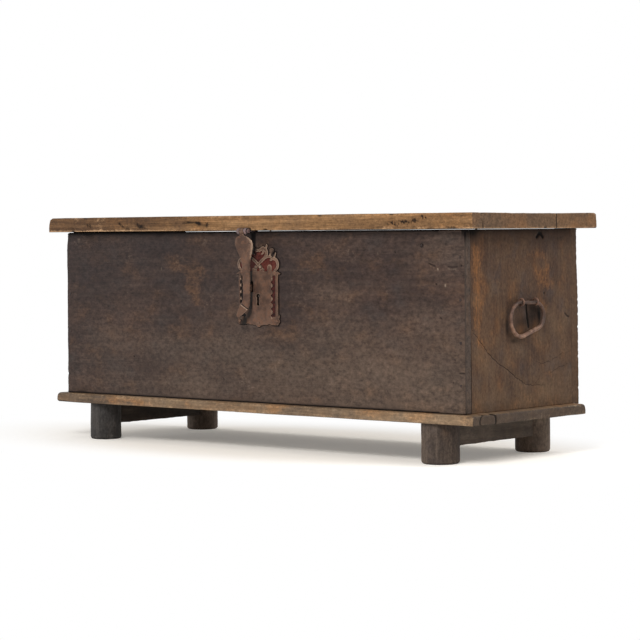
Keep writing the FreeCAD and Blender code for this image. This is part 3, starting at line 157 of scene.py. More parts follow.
def tube_faces(rings, around, closed_length=False):
    """Quads between rings of points; a tube that is closed along its length joins its ends."""
    last = rings if closed_length else rings - 1
    ring, spot = np.meshgrid(np.arange(last), np.arange(around), indexing="ij")
    ring, spot = ring.ravel(), spot.ravel()
    beyond, beside = (ring + 1) % rings, (spot + 1) % around
    return np.stack((ring * around + spot, ring * around + beside, beyond * around + beside,
                     beyond * around + spot), axis=1)


def capped(points, faces, rings, around):
    """Closes a tube with a middle point and a fan of triangles at each end."""
    ends = points.reshape(rings, around, 3)
    points = np.concatenate((points, [ends[0].mean(axis=0)], [ends[-1].mean(axis=0)]))
    spot = np.arange(around)
    beside = (spot + 1) % around
    first = np.full(around, rings * around)
    start = np.stack((first, beside, spot), axis=1)
    base = (rings - 1) * around
    end = np.stack((first + 1, base + spot, base + beside), axis=1)
    return points, [faces, start, end]


def merged(shells):
    """Several closed surfaces as one set of points and faces."""
    points, faces, count = [], [], 0
    for own_points, own_faces in shells:
        points.append(own_points)
        faces += [part + count for part in own_faces]
        count += len(own_points)
    return np.concatenate(points), faces


def piece(name, points, faces, body, finish, nodes, marks=None, crisp=None):
    """One mesh object from points and faces in millimetres. Marks are numbers at its points that
    its finish reads; crisp is the angle in degrees past which an edge stays sharp."""
    mesh = bpy.data.meshes.new(name)
    rows = [row for part in faces for row in part.tolist()]
    mesh.from_pydata((points * MM).tolist(), [], rows)
    mesh.polygons.foreach_set("use_smooth", np.ones(len(rows), dtype=bool))
    if crisp:
        mesh.set_sharp_from_angle(angle=math.radians(crisp))
    for word, numbers in (marks or {}).items():
        layer = mesh.attributes.new(word, "FLOAT", "POINT")
        layer.data.foreach_set("value", np.asarray(numbers, dtype=np.float32))
    mesh.materials.append(finish)
    mesh.update()
    item = bpy.data.objects.new(name, mesh)
    bpy.context.scene.collection.objects.link(item)
    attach(item, body)
    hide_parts(*nodes)
    return item


# ---------------------------------------------------------------- finishes

# The way that a piece's lot number moves its finish, in metres.
LOT_WAY = (0.37, 0.71, 0.53)


class Reading:
    """One output socket of a finish, on which arithmetic adds Math nodes."""

    def __init__(self, finish, socket):
        self.finish = finish
        self.socket = socket

    def maths(self, operation, *values, clamp=False):
        settings = {"operation": operation, "use_clamp": clamp}
        return self.finish.node("Math", settings, dict(enumerate(values)))

    def __add__(self, other):
        return self.maths("ADD", self, other)

    def __radd__(self, other):
        return self.maths("ADD", other, self)

    def __sub__(self, other):
        return self.maths("SUBTRACT", self, other)

    def __rsub__(self, other):
        return self.maths("SUBTRACT", other, self)

    def __mul__(self, other):
        return self.maths("MULTIPLY", self, other)

    def __rmul__(self, other):
        return self.maths("MULTIPLY", other, self)

    def __truediv__(self, other):
        return self.maths("DIVIDE", self, other)

    def part(self):
        """What is left over whole numbers."""
        return self.maths("FRACT", self)

    def top(self, other):
        """The larger of two."""
        return self.maths("MAXIMUM", self, other)

    def size(self):
        """Without its sign."""
        return self.maths("ABSOLUTE", self)

    def held(self):
        """Kept from 0 to 1."""
        return self.maths("ADD", self, 0.0, clamp=True)

    def step(self, start, end):
        """Smooth step from 0 at start to 1 at end."""
        return self.finish.node("MapRange", {"interpolation_type": "SMOOTHSTEP"},
                                {"Value": self, "From Min": start, "From Max": end})


class Finish:
    """A material with a Principled shader, and the few nodes that its recipe is written with."""

    def __init__(self, name, fixed=None):
        self.material = bpy.data.materials.new(name)
        self.material.use_nodes = True
        self.tree = self.material.node_tree
        self.tree.nodes.clear()
        self.output = self.tree.nodes.new("ShaderNodeOutputMaterial")
        self.shader = self.tree.nodes.new("ShaderNodeBsdfPrincipled")
        self.tree.links.new(self.shader.outputs[0], self.output.inputs[0])
        for word, value in (fixed or {}).items():
            self.shader.inputs[word].default_value = value

    def node(self, kind, settings=None, sockets=None, out=0):
        """Adds a shader node: its settings first, then numbers, colours or links on its sockets."""
        made = self.tree.nodes.new(f"ShaderNode{kind}")
        for word, value in (settings or {}).items():
            setattr(made, word, value)
        for place, value in (sockets or {}).items():
            if isinstance(value, Reading):
                self.tree.links.new(value.socket, made.inputs[place])
            else:
                made.inputs[place].default_value = value
        return Reading(self, made.outputs[out])

    def vector(self, operation, first, second, socket=1):
        """One step of vector maths on two values; a plain number has its own socket."""
        return self.node("VectorMath", {"operation": operation}, {0: first, socket: second})

    def place(self, stretch=(1, 1, 1), shift=(0, 0, 0)):
        """Object coordinates in metres, moved by the piece's lot, squeezed or drawn out, and
        moved again."""
        where = self.node("TexCoord", out=3)
        moved = self.vector("SCALE", LOT_WAY, self.mark("lot"), 3)
        where = self.vector("MULTIPLY", self.vector("ADD", where, moved), stretch)
        return self.vector("ADD", where, shift)

    def mark(self, word):
        """A number that the mesh carries at its points."""
        return self.node("Attribute", {"attribute_name": word}, out=2)

    def noise(self, size, stretch=(1, 1, 1), detail=3.0, rough=0.55, shift=(0, 0, 0)):
        """Cloudy noise from 0 to 1 whose patches are about `size` millimetres."""
        return self.node("TexNoise", {"noise_dimensions": "3D"},
                         {"Vector": self.place(stretch, shift), "Scale": 1 / (size * MM),
                          "Detail": detail, "Roughness": rough})

    def cells(self, size, stretch=(1, 1, 1)):
        """Distance to scattered seeds about `size` millimetres apart, from 0 to 1."""
        sockets = {"Vector": self.place(stretch), "Scale": 1 / (size * MM)}
        return self.node("TexVoronoi", {}, sockets)

    def mix(self, share, first, second, blend="MIX"):
        """From the first colour to the second by a share."""
        settings = {"data_type": "RGBA", "blend_type": blend, "clamp_factor": True}
        return self.node("Mix", settings, {0: share, 6: first, 7: second}, out=2)

    def layered(self, colour, *layers):
        """A colour under layers, each a share and the colour that it brings in."""
        for share, other in layers:
            colour = self.mix(share, colour, other)
        return colour

    def use(self, **links):
        """Links readings to the shader's own sockets."""
        for word, value in links.items():
            self.tree.links.new(value.socket, self.shader.inputs[word.replace("_", " ").title()])

    def relief(self, height, distance, strength=1.0):
        """Bump from a height of 0 to 1 over a distance in millimetres."""
        normal = self.node("Bump", {},
                           {"Strength": strength, "Distance": distance * MM, "Height": height})
        self.use(normal=normal)


def paint(red, green, blue):
    """A screen colour of 0 to 255 as the linear colour that renders as it."""
    screen = np.array((red, green, blue)) / 255
    linear = np.where(screen <= 0.04045, screen / 12.92, ((screen + 0.055) / 1.055) ** 2.4)
    return (*linear.tolist(), 1.0)


# How dark the pores of wood are.
PORE_WEIGHT = 0.4


def wood(name, along, colours, ring_width=5.0, ring_weight=0.15, roughness=0.6, mottle=0.6,
         grain=(0.4, 0.3, 1.0), sheen=0.2, speck_size=5.5):
    """Old wood. Its colour goes from deep to body to pale by cloudy stain and long streaks, warms
    to glow and cools in blotches, and darkens on yearly rings; then comes glow where it is bare,
    worn where it is rubbed and where a highlight is painted, its end grain colour, and dirt in
    cracks and dents and painted shade, both by its dirt and shade mark. Its tone mark moves it to
    pale or deep, and on some pieces holds painted light and shade. Fibres, streaks and specks
    darken and lighten it by the three weights of its grain."""
    deep, body, pale, glow, cool, worn, dirt, end = (paint(*colour) for colour in colours)
    finish = Finish(name, {"Specular IOR Level": sheen})
    drawn, longer, patch, round_ish = ([share if axis == along else 1.0 for axis in "XYZ"]
                                       for share in (0.09, 0.05, 0.5, 0.7))
    cloud = finish.noise(130.0, patch, detail=5.0, rough=0.6)
    streak = finish.noise(11.0, longer, detail=4.0, rough=0.65)
    fibre = finish.noise(2.2, drawn, detail=3.0, rough=0.6, shift=(3.1, 1.7, 0.4))
    speck = finish.noise(speck_size, round_ish, detail=4.0, rough=0.75, shift=(7.3, 0.9, 2.8))
    blotch = finish.noise(48.0, round_ish, detail=5.0, rough=0.62, shift=(0.6, 8.2, 4.9))
    pores = finish.cells(1.6, drawn)
    bend = finish.noise(60.0, patch, detail=2.0, shift=(0.3, 5.1, 2.2))
    rings = (finish.mark("ring") / ring_width + bend * 2.2 + streak * 0.6).part()
    late = rings.step(0.35, 0.98) * (1 - rings.step(0.985, 1.0))
    pit = (1 - pores.step(0.08, 0.3)) * fibre.step(0.45, 0.75)
    tone, stripped, wear_highlight_mark, sawn, dirt_shade_mark = (finish.mark(word) for word in
                                           ("tone", "bare", "wear_and_highlight", "end", "dirt_and_shade"))
    bare = (stripped + (blotch - 0.5) * 1.3 + (speck - 0.5) * 0.8).step(0.25, 1.0)
    wear_and_highlight = (wear_highlight_mark + (speck - 0.5) * 1.1 + (blotch - 0.5) * 0.8).step(0.2, 0.9)
    colour = finish.layered(
        deep, (cloud.step(0.34, 0.66), body), (streak.step(0.42, 0.75) * grain[1], pale),
        (blotch.step(0.5, 0.74) * mottle * 0.6, glow),
        ((1 - blotch).step(0.5, 0.72) * mottle, cool),
        (bare * stripped.step(0.0, 0.3) * 0.75, glow), (late * ring_weight, deep),
        (tone.top(0.0), pale), ((0 - tone).top(0.0), deep), (sawn * 0.85, end),
        ((sawn * stripped * 0.6).held(), glow), (wear_and_highlight * wear_highlight_mark.step(0.0, 0.25), worn))
    shade = (fibre - 0.5) * grain[0] + (streak - 0.5) * grain[1] + (speck - 0.5) * grain[2]
    grey = finish.node("CombineColor", {}, {0: shade + 1, 1: shade + 1, 2: shade + 1})
    colour = finish.mix(1.0, colour, grey, "MULTIPLY")
    offset = finish.mark("split").size()
    split = (1 - (offset + (fibre - 0.5) * 0.7).step(0.25, 1.15)) * finish.mark("cleft")
    dirt_and_shade = (dirt_shade_mark + (speck - 0.5) * 0.7).step(0.12, 0.8)
    dirt_and_shade = (dirt_and_shade * dirt_shade_mark.step(0.0, 0.08)).top(split)
    finish.use(base_color=finish.layered(colour, (pit * PORE_WEIGHT, dirt), (dirt_and_shade, dirt)))
    finish.use(roughness=(roughness + (cloud - 0.5) * 0.25 - wear_and_highlight * 0.08 + pit * 0.2 +
                          dirt_and_shade * 0.25).held())
    finish.relief(fibre * 0.4 + streak * 0.4 + speck * 0.5 - late * 0.3 - pit * 0.8 - split * 2.5,
                  0.45, 0.55)
    return finish.material


# The size of iron's pits, and the colour of the dirt in its corners and of painted shade.
PIT_SIZE = 2.6
SOOT_AND_SHADE = (0.006, 0.005, 0.004, 1.0)


def iron(name, colours, metal=0.15, roughness=0.6, sheen=0.3):
    """Old forged iron: from deep to body by clouds, rust where a finer noise passes a bound, and
    shine on rubbed edges and high places and where a highlight is painted; dark and sooty where
    its dirt and shade mark holds dirt and painted shade; pitted all over, rougher where it is rusty."""
    deep, body, rust, shine = (paint(*colour) for colour in colours)
    finish = Finish(name, {"Specular IOR Level": sheen})
    cloud = finish.noise(26.0, detail=5.0, rough=0.62)
    grain = finish.noise(PIT_SIZE, detail=4.0, rough=0.65, shift=(1.3, 0.2, 4.4))
    flake = finish.noise(7.0, detail=4.0, rough=0.6, shift=(6.1, 2.7, 0.9))
    pits = 1 - finish.cells(PIT_SIZE).step(0.1, 0.42)
    rusty = (flake + (cloud - 0.5) * 0.5).step(0.46, 0.66)
    wear_highlight_mark = finish.mark("wear_and_highlight")
    wear_and_highlight = (wear_highlight_mark + (grain - 0.5) * 0.9).step(0.25, 0.9)
    dirt_and_shade = finish.mark("dirt_and_shade").step(0.05, 0.8)
    finish.use(base_color=finish.layered(
        deep, (cloud.step(0.35, 0.65), body), (rusty * 0.5, rust),
        ((grain - 0.5).top(0.0) * 1.2, rust), (pits * grain.step(0.4, 0.6) * 0.55, deep),
        (wear_and_highlight * wear_highlight_mark.step(0.0, 0.2), shine), (dirt_and_shade, deep), (dirt_and_shade * 0.85, SOOT_AND_SHADE)))
    finish.use(metallic=(metal + wear_and_highlight * 0.35 - rusty * 0.2 - dirt_and_shade * 0.3).held())
    finish.use(roughness=(roughness + rusty * 0.15 - wear_and_highlight * 0.22 + (grain - 0.5) * 0.2).held())
    finish.relief(grain * 0.55 + flake * 0.6 - pits * 0.5, 0.4, 0.6)
    return finish.material


def leather(name, colours):
    """Old red leather: pebbled by small cells, faded in clouds and cracked between the pebbles,
    and darkened by its dirt and shade mark, which holds dirt and painted shade.
    """
    body, deep, pale, dirt = (paint(*colour) for colour in colours)
    finish = Finish(name, {"Specular IOR Level": 0.1})
    cloud = finish.noise(14.0, detail=4.0)
    pebble = finish.cells(1.3)
    crack = finish.noise(3.0, detail=5.0, rough=0.7)
    finish.use(base_color=finish.layered(
        body, (cloud.step(0.35, 0.7), pale), (pebble.step(0.35, 0.8) * 0.5, deep),
        (crack.step(0.52, 0.66) * 0.5, deep), (finish.mark("dirt_and_shade"), dirt)))
    finish.use(roughness=(0.62 + (cloud - 0.5) * 0.2).held())
    finish.relief(1 - pebble, 0.25, 0.6)
    return finish.material


# The colours of each wood, on a scale to 255: deep, body, pale, glow, cool, worn and painted
# highlight, dirt and painted shade, end grain.
lid_wood = wood("lid_wood", "X", (
    (68, 45, 26), (121, 89, 57), (148, 114, 79), (148, 102, 60), (86, 64, 47), (160, 128, 96),
    (28, 20, 15), (84, 66, 51)), ring_weight=0.3, mottle=0.75, grain=(0.9, 0.8, 1.8), sheen=0.12)
front_wood = wood("front_wood", "X", (
    (42, 32, 30), (67, 52, 45), (91, 76, 65), (96, 68, 46), (54, 48, 46), (120, 106, 92),
    (18, 13, 12), (66, 56, 50)), ring_weight=0.1, grain=(0.4, 0.2, 2.5), sheen=0.12,
    speck_size=7.5)
back_wood = wood("back_wood", "X", (
    (52, 40, 35), (68, 53, 44), (88, 70, 58), (108, 72, 42), (56, 48, 46), (104, 86, 72),
    (20, 15, 13), (76, 57, 42)), grain=(0.6, 0.5, 1.8), sheen=0.12)
end_wood = wood("end_wood", "Z", (
    (60, 43, 33), (79, 59, 44), (96, 77, 59), (113, 75, 43), (64, 53, 49), (110, 86, 64),
    (18, 13, 10), (62, 50, 44)), ring_width=9.0, ring_weight=0.14, mottle=0.8,
    grain=(0.4, 0.25, 1.9), sheen=0.12)
base_wood = wood("base_wood", "X", (
    (82, 65, 50), (118, 96, 73), (142, 118, 92), (152, 106, 62), (98, 86, 74), (150, 130, 104),
    (28, 21, 16), (55, 44, 36)), ring_weight=0.3, mottle=0.75, grain=(0.9, 0.8, 2.0))
foot_wood = wood("foot_wood", "Z", (
    (54, 45, 40), (76, 64, 56), (98, 84, 73), (98, 74, 52), (68, 60, 59), (106, 92, 80),
    (20, 15, 13), (66, 56, 50)), roughness=0.7, grain=(0.8, 0.5, 2.2))
grey_foot_wood = wood("grey_foot_wood", "Z", (
    (45, 42, 41), (61, 58, 56), (86, 82, 79), (64, 56, 50), (56, 53, 53), (98, 92, 88),
    (14, 12, 12), (50, 46, 45)), roughness=0.7, grain=(0.8, 0.5, 2.2))
beam_wood = wood("beam_wood", "Y", (
    (50, 42, 37), (79, 69, 60), (98, 86, 76), (88, 68, 50), (58, 50, 47), (84, 70, 60),
    (18, 14, 12), (54, 46, 41)), ring_weight=0.2, roughness=0.7, grain=(0.9, 0.6, 1.8))
peg_wood = wood("peg_wood", "Y", (
    (120, 92, 64), (150, 120, 86), (170, 140, 104), (160, 120, 80), (140, 116, 88),
    (170, 140, 110), (60, 44, 32), (130, 104, 78)), ring_weight=0.5)
# The colours of each iron: deep, body, rust and shine, which also paints highlights; and of the
# leather: body, deep, pale, dirt, which also paints shade.
plate_iron = iron("plate_iron", ((69, 52, 44), (95, 73, 61), (107, 76, 59), (148, 124, 106)),
                  metal=0.1, sheen=0.12)
barrel_iron = iron("barrel_iron", ((82, 68, 68), (120, 104, 102), (112, 78, 72),
                                   (150, 136, 132)), roughness=0.5)
ring_iron = iron("ring_iron", ((72, 52, 43), (104, 77, 63), (108, 77, 59), (156, 126, 105)),
                 roughness=0.55)
dark_iron = iron("dark_iron", ((34, 26, 24), (52, 41, 37), (70, 47, 36), (96, 80, 72)),
                 roughness=0.65)
lock_iron = iron("lock_iron", ((52, 48, 46), (82, 76, 72), (84, 62, 48), (130, 124, 118)),
                 metal=0.55, roughness=0.45)
red_leather = leather("red_leather", ((78, 32, 27), (38, 17, 15), (97, 50, 41), (17, 11, 10)))


# ---------------------------------------------------------------- boards

def ring_distance(points, along, pith, seed):
    """Yearly rings: the distance from a pith line along the grain, swayed by a slow ripple."""
    across = [axis for axis in range(3) if axis != along]
    stretch = np.ones(3)
    stretch[along] = 5.0
    away = np.linalg.norm(points[:, across] - pith, axis=1)
    return away + 7.0 * ripple(points, seed, 160.0, stretch)


def edge_distance(points, low, high):
    """From a place on a box's surface to the nearest edge of the box."""
    gaps = np.minimum(points - low, high - points)
    return np.sort(gaps, axis=1)[:, 1]


def worn_board(node, body, finish, along, pith, lot, steps, arris, wear, tint,
               extra=NO_EXTRA, rim=10.0, rubbed=0.0, joints=()):
    """A board: the grid of its box, drawn in to spheres and rods of a local radius along its
    arrises, then pushed in along its normals by the wear. Its sides at a joint keep a sharp
    arris."""
    low, high = node_box(node)
    flat, faces = block_surface(*(rail(low[axis], high[axis], steps[axis], rim, extra[axis])
                                  for axis in range(3)))
    radius = arris(flat)[:, None]
    close = np.array([[0, np.isclose(side[1], joints).any(), 0] for side in (low, high)])
    margins = [np.where(shut, JOINT_ARRIS, radius) for shut in close.astype(bool)]
    inner = np.clip(flat, low + margins[0], high - margins[1])
    reach = flat - inner
    normal = reach / np.linalg.norm(reach, axis=1, keepdims=True)
    depth, marks = wear(flat, normal, low, high)
    points = inner + normal * (radius - depth[:, None])
    chafe = rubbed * fade(edge_distance(flat, low, high), 5.0)
    chafe += 0.12 * ripple(flat, lot + 40, 90.0)
    numbers = {"ring": ring_distance(flat, along, pith, lot), "lot": np.full(len(flat), lot),
               "end": ease(np.abs(normal[:, along]), 0.4, 0.95), "tone": tint(flat, normal),
               "bare": np.zeros(len(flat)), **marks, "wear_and_highlight": chafe + marks.get("wear_and_highlight", 0)}
    return piece(f"worn_{node}", points, [faces], body, finish, [node], numbers)


def uneven(flat, lot, height, size=120.0, along=0):
    """Depths from 0 up to about twice `height`, in long shallow waves along the grain."""
    stretch = np.ones(3)
    stretch[along] = 4.0
    slow = ripple(flat, lot + 7, size, stretch)
    quick = ripple(flat, lot + 8, size / 6, stretch)
    return np.maximum(0.0, height * (1.0 + 0.7 * slow + 0.3 * quick))

# The outer planes and levels of the lid, the box and the base, the outer face of an end board, and
# the joints between planks.
LID_FRONT, LID_BACK, LID_HALF, LID_FOOT = -210.0, 225.5, 600.0, 466.2
LID_JOINTS = (-174.0, 77.0)
BOX_FRONT, BOX_HALF, BOX_FOOT, BOX_TOP = -188.0, 563.0, 102.4, 463.7
END_FACE = 563.3
BASE_FRONT, BASE_HALF = -200.1, 590.6
BASE_JOINTS = (-124.1, 33.9)
# The middle of the hasp's hinge.
BARREL = (6.0, -217.5, 465.2)


def in_front(y, *places):
    """Places (x, z) on a plane that faces the front."""
    return tuple((x, y, z) for x, z in places)


# Dark dents along the lid's front edge, and one long one.
LID_DENTS = in_front(LID_FRONT, (426, 479), (450, 482), (474, 489), (-466, 480), (402, 478))
LONG_DENT = ((-150, -210, 484), (44.0, 6.0, 2.2))
# Dark curled smears on the lid's front: a line (x, z), its reach and its weight.
LID_SMEARS = ((((-372, 483), (-364, 478), (-355, 473.5), (-342, 473)), 3.4, 0.56),
              (((-317, 481), (-309, 475.5), (-295, 477)), 4.4, 0.62),
              (((-312, 481), (-304, 479)), 2.6, 0.45),
              (((-176, 482), (-141, 486), (-128, 481)), 3.6, 0.36),
              (((-132, 482), (-119, 478), (-107, 477)), 5.6, 0.46),
              (((-105, 480), (-84, 478)), 5.6, 0.28), (((-200, 488), (-196, 485)), 3.6, 0.25),
              (((-548, 481), (-536, 478), (-520, 479)), 4.0, 0.3),
              (((536, 470), (548, 468.5), (560, 469)), 2.6, 0.4))
# The recess for the hinge: its radius about the barrel, and its depth under the tongue. Further
# out than the clear half length, the lid's underside stays flat.
RECESS_RADIUS, RECESS_DEPTH, CLEAR_HALF = 9.2, 2.4, 535
LID_NICKS = ((61, -210, 467), (210, -210, 498), (398, -210, 498), (-480, -210, 498),
             (600, -176, 498), (600, -120, 498), (600, 38, 466), (600, 190, 498),
             (-520, -210, 466))


def lid_arris(flat):
    """Rounding of the lid: 3 mm at its outer edges with chips, less at their foot, more at the
    back and at the far left top corner, and next to none at the joints between the planks."""
    x, y, z = flat.T
    outer = np.minimum(np.minimum(y - LID_FRONT, LID_BACK - y), LID_HALF - np.abs(x))
    sharp = 0.3 + 0.7 * ease(z, 474, 490)
    corner = 5.0 * bell(x + LID_HALF, 60) * ease(z, 482, 498)
    radius = 2.6 * sharp + 3.0 * ease(y, 200, 222) + corner
    chips = (0.5 * ripple(flat, 11, 34.0) + 0.35 * ripple(flat, 12, 11.0)) * (outer < 12) * sharp
    return np.clip(0.5 + radius * (1 - ease(outer, 4.0, 18.0)) + chips, 0.4, 11.0)


def lid_wear(flat, normal, low, high):
    """The hollow top of the lid, with dents, nicks and smears, a recess for the hinge with painted
    shade about it, dirty joints, painted shade on its underside, rough end grain and a painted
    highlight along its foot."""
    x, y, z = flat.T
    nx, ny, nz = normal.T
    front, under = ny < -FACING, nz < -FACING
    end = ease(np.abs(nx), FACING, 0.95)
    dents = spots(flat, LID_DENTS, (14.0, 6.0, 5.5)) * (0.45 + 1.1 * ripple(flat, 25, 9.0))
    dents = np.clip(dents + 0.5 * spots(flat, *LONG_DENT), 0, 1)
    nicks = np.minimum(spots(flat, LID_NICKS, (7.0, 6.0, 4.0)), 1)
    smear, wobble = np.zeros(len(flat)), 1.3 * ripple(flat, 27, 6.0)
    for path, reach, weight in LID_SMEARS:
        gap = seam_distance(flat[:, ::2], path)[0] + wobble
        smear += weight * bell(np.maximum(gap, 0), reach) * front
    depth = uneven(flat, 3, 0.28) + 2.5 * bell(y - 20, 130) * ease(nz, FACING, 0.95)
    depth += 0.9 * dents + 1.8 * nicks + 0.8 * smear
    depth += end * np.maximum(0, 0.35 + 0.25 * ripple(flat, 21, 5.0, (1, 3.0, 0.6)))
    hollow = np.hypot(y - BARREL[1], z - BARREL[2])
    beside = 1 - ease(np.abs(x - BARREL[0]), 14.2, 15.2)
    depth += beside * np.maximum(0, RECESS_RADIUS - hollow) * (ny < -0.2)
    depth += RECESS_DEPTH * beside * ((nz < -0.6) & (y < -172))
    depth *= 1 - under * (np.abs(x) > CLEAR_HALF) * (1 - beside)
    seam = bell(np.minimum(*(np.abs(y - joint) for joint in LID_JOINTS)), 1.7)
    seam *= np.where(y < 0, 1 - ease(z, 476, 488) * (x > 590), 1.0)
    # Dirt in dents, nicks, joints and smears, and painted shade on the underside.
    dirt_and_shade = 0.75 * dents + 0.8 * nicks + 0.95 * seam + smear + 0.5 * under
    # Painted shade about the recess for the hinge.
    dirt_and_shade += 0.7 * beside * bell(np.maximum(hollow - 8, 0), 3.0)
    dirt_and_shade += 0.22 * ease(ripple(flat, 26, 24.0, (2.5, 1, 0.6)), 0.2, 1.6) * front
    bare = 0.32 * ease(x, -200, 500) * (np.abs(nx) < FACING)
    bare += 0.2 * ripple(flat, 31, 200.0, (3, 1, 1))
    bare += end * (0.14 * ease(y, -70, 140) + 0.12 * ripple(flat, 32, 40.0))
    # A painted highlight along the lid's foot, weaker on its ends and at the left of its front.
    foot_highlight = fade(z - LID_FOOT, 1.6) * (nz > -FACING) * (1 - beside)
    foot_highlight *= 1 - 0.6 * end - 0.65 * (1 - end) * ease(x, -240, -210)
    return depth, {"dirt_and_shade": dirt_and_shade, "bare": bare, "wear_and_highlight": 2.2 * foot_highlight}


def lid_tint(flat, normal):
    """The lid is darker towards its left end and lighter on its top, front and right."""
    side = 0.96 * ease(flat[:, 0], -640, 60) - 0.84
    return side * (1 - 0.8 * np.abs(normal[:, 0])) + 0.08 * ripple(flat, 5, 260.0, (3, 1, 1))


# The planks of the lid: node, pith (y, z), grid steps and extra places of the grid.
for lot, (node, pith, steps, extra) in enumerate((
        ("lid_front_strip", (-240, 390), (3.2, 5.0, 2.0),
         ((-8.9, -7.9, 20.0, 21.0), (), (474.2,))),
        ("lid_middle_plank", (-60, 330), (5.0, 5.0, 3.0), NO_EXTRA),
        ("lid_back_plank", (190, 350), (5.0, 5.0, 3.0), NO_EXTRA)), start=1):
    worn_board(node, "lid", lid_wood, 0, pith, lot, steps, lid_arris, lid_wear,
               lid_tint, extra, rubbed=0.3, joints=LID_JOINTS)


# The front board: pale flecks, pits, gouges (x, z), the line of the painted shadow round the
# hasp's head, places where the stain has worn through, and the mortise for the lock.
FRONT_FLECKS = in_front(BOX_FRONT, (-264, 387), (-263, 382), (347, 419), (498, 386), (516, 354),
                        (508, 304))
FRONT_PITS = in_front(BOX_FRONT, (458, 434), (539, 208), (556, 394), (534, 163), (-430, 300),
                      (390, 420), (120, 210), (-80, 150), (300, 160), (-350, 190), (494, 357),
                      (522, 362), (504, 291))
NAIL_PIT = (FRONT_PITS[0], (5.0, 5.0, 4.6))
EDGE_NOTCH = ((-563, -186, 145), (8.0, 9.0, 2.4))
FRONT_GOUGES = (((523, 392), (534, 391), (546, 392)), ((549, 183), (562, 183)),
                ((474, 398.6), (492, 392.6)))
HEAD_SHADE = ((8.5, 464), (8.5, 442), (7.5, 428), (3, 413))
FRONT_BARE = (((-165, -188, 358), (44.0, 30, 56.0), 0.68),
              ((205, -188, 360), (60.0, 30, 55.0), 0.3),
              ((-222, -188, 400), (42.0, 30, 20.0), 0.42))
MORTISE = (-8.2, 62.2, 299.8, 368.2)
MORTISE_DEPTH = 12.9
# How much higher the front board's top is than its box: everywhere, right of the middle, and at
# its left end.
FRONT_RISE = (1.05, 0.35, 0.2)


def board_arris(flat):
    """Rounding of the boards of the box: 1.6 mm, chipped, with a worn top left corner in front."""
    x, y, z = flat.T
    base = 1.5 + 0.5 * ripple(flat, 51, 40.0) + 0.35 * ripple(flat, 52, 9.0)
    base *= np.where((z < 106) | (y > -172), 0.3, 1.0)
    return np.clip(base + 4.0 * bell(x + BOX_HALF, 26) * bell(z - 464, 22), 0.25, 6.0)


def rim_share(flat, normal):
    """How far a place on a board is spared the dirt and painted shade under the lid: most of it on
    the top edge, which the lid keeps clean and hands rub, and none elsewhere."""
    return (normal[:, 2] > LEVEL) * np.clip(0.8 + 0.25 * ripple(flat, 64, 24.0), 0, 1)


def front_wear(flat, normal, low, high):
    """Shallow waves, pits, pale flecks, gouges with a ledge, a notch on the left edge, the lock's
    mortise, darker edges and foot, painted shadow beside the hasp's head and painted shade under
    the lid. Its top stands a little higher to the right."""
    x, y, z = flat.T
    nx, ny, nz = normal.T
    place, face = flat[:, ::2], ny < -FACING
    pits = np.minimum(spots(flat, FRONT_PITS, (2.6, 5.0, 2.2)), 1)
    pits = np.minimum(pits + spots(flat, *NAIL_PIT), 1) * face
    fleck = np.minimum(spots(flat, FRONT_FLECKS, (2.2, 5.0, 4.4)), 1) * face
    notch = spots(flat, *EDGE_NOTCH)
    gouge, ledge = (sum(bell(seam_distance(place + (0, drop), path)[0], reach)
                        for path in FRONT_GOUGES) * face for drop, reach in ((0, 1.9), (4, 1.6)))
    depth = uneven(flat, 61, 0.2, 90.0)
    depth += 0.9 * pits + 1.6 * np.minimum(notch, 1) + 0.25 * fleck + 0.9 * gouge
    left, right, foot, top = MORTISE
    within = (x > left) & (x < right) & (z > foot) & (z < top)
    depth = np.where(within & face, MORTISE_DEPTH, depth)
    depth = np.where(np.abs(nz) > LEVEL, 0.0, depth)
    whole, right_half, left_end = FRONT_RISE
    rise = whole + right_half * ease(x, -10, 40) + left_end * (1 - ease(x, -330, -220))
    depth -= rise * (nz > RISING)
    head = seam_distance(place, HEAD_SHADE)[0]
    below = BOX_TOP - z
    dirt_and_shade = 0.8 * pits + 0.9 * notch + 0.6 * gouge
    dirt_and_shade += 0.5 * fade(edge_distance(flat, low, high), 4.5) * (x < 500)
    # Painted shadow of the hasp's head on the board; painted shade under the lid's overhang at the
    # right end and, more at the left, all along under the lid; a dark line at the foot.
    dirt_and_shade += 1.1 * bell(np.maximum(head - 1.5, 0), 4.4) * face
    dirt_and_shade += 0.6 * bell(z - 463, 18) * (x > 556) + 0.9 * fade(np.abs(z - BOX_FOOT), 2.0)
    dirt_and_shade += 0.28 * fade(below, 9.0) * (1 - ease(x, -420, 0)) + 0.6 * fade(below, 1.8)
    dirt_and_shade += 0.36 * bell(y + 185, 2.6) * (x > BOX_HALF)
    dirt_and_shade += 0.22 * ease(ripple(flat, 66, 46.0, (1.5, 1, 1)), 0.5, 1.8) * face
    bare = patches(flat, FRONT_BARE) + 0.3 * ease(x, -250, 480) * (1 - ease(z, 120, 300))
    bare += 0.12 * (1 - ease(z, 105, 240)) + 0.12 * ripple(flat, 64, 50.0, (1.5, 1, 1))
    strip = (nx > FACING) * (y > -182) * (0.1 + 0.2 * ripple(flat, 67, 30.0))
    rim = rim_share(flat, normal)
    return depth, {"dirt_and_shade": dirt_and_shade * (1 - rim), "bare": bare * face + strip + 0.25 * rim,
                   "wear_and_highlight": 0.72 * fleck + 0.42 * ledge + 0.3 * rim}


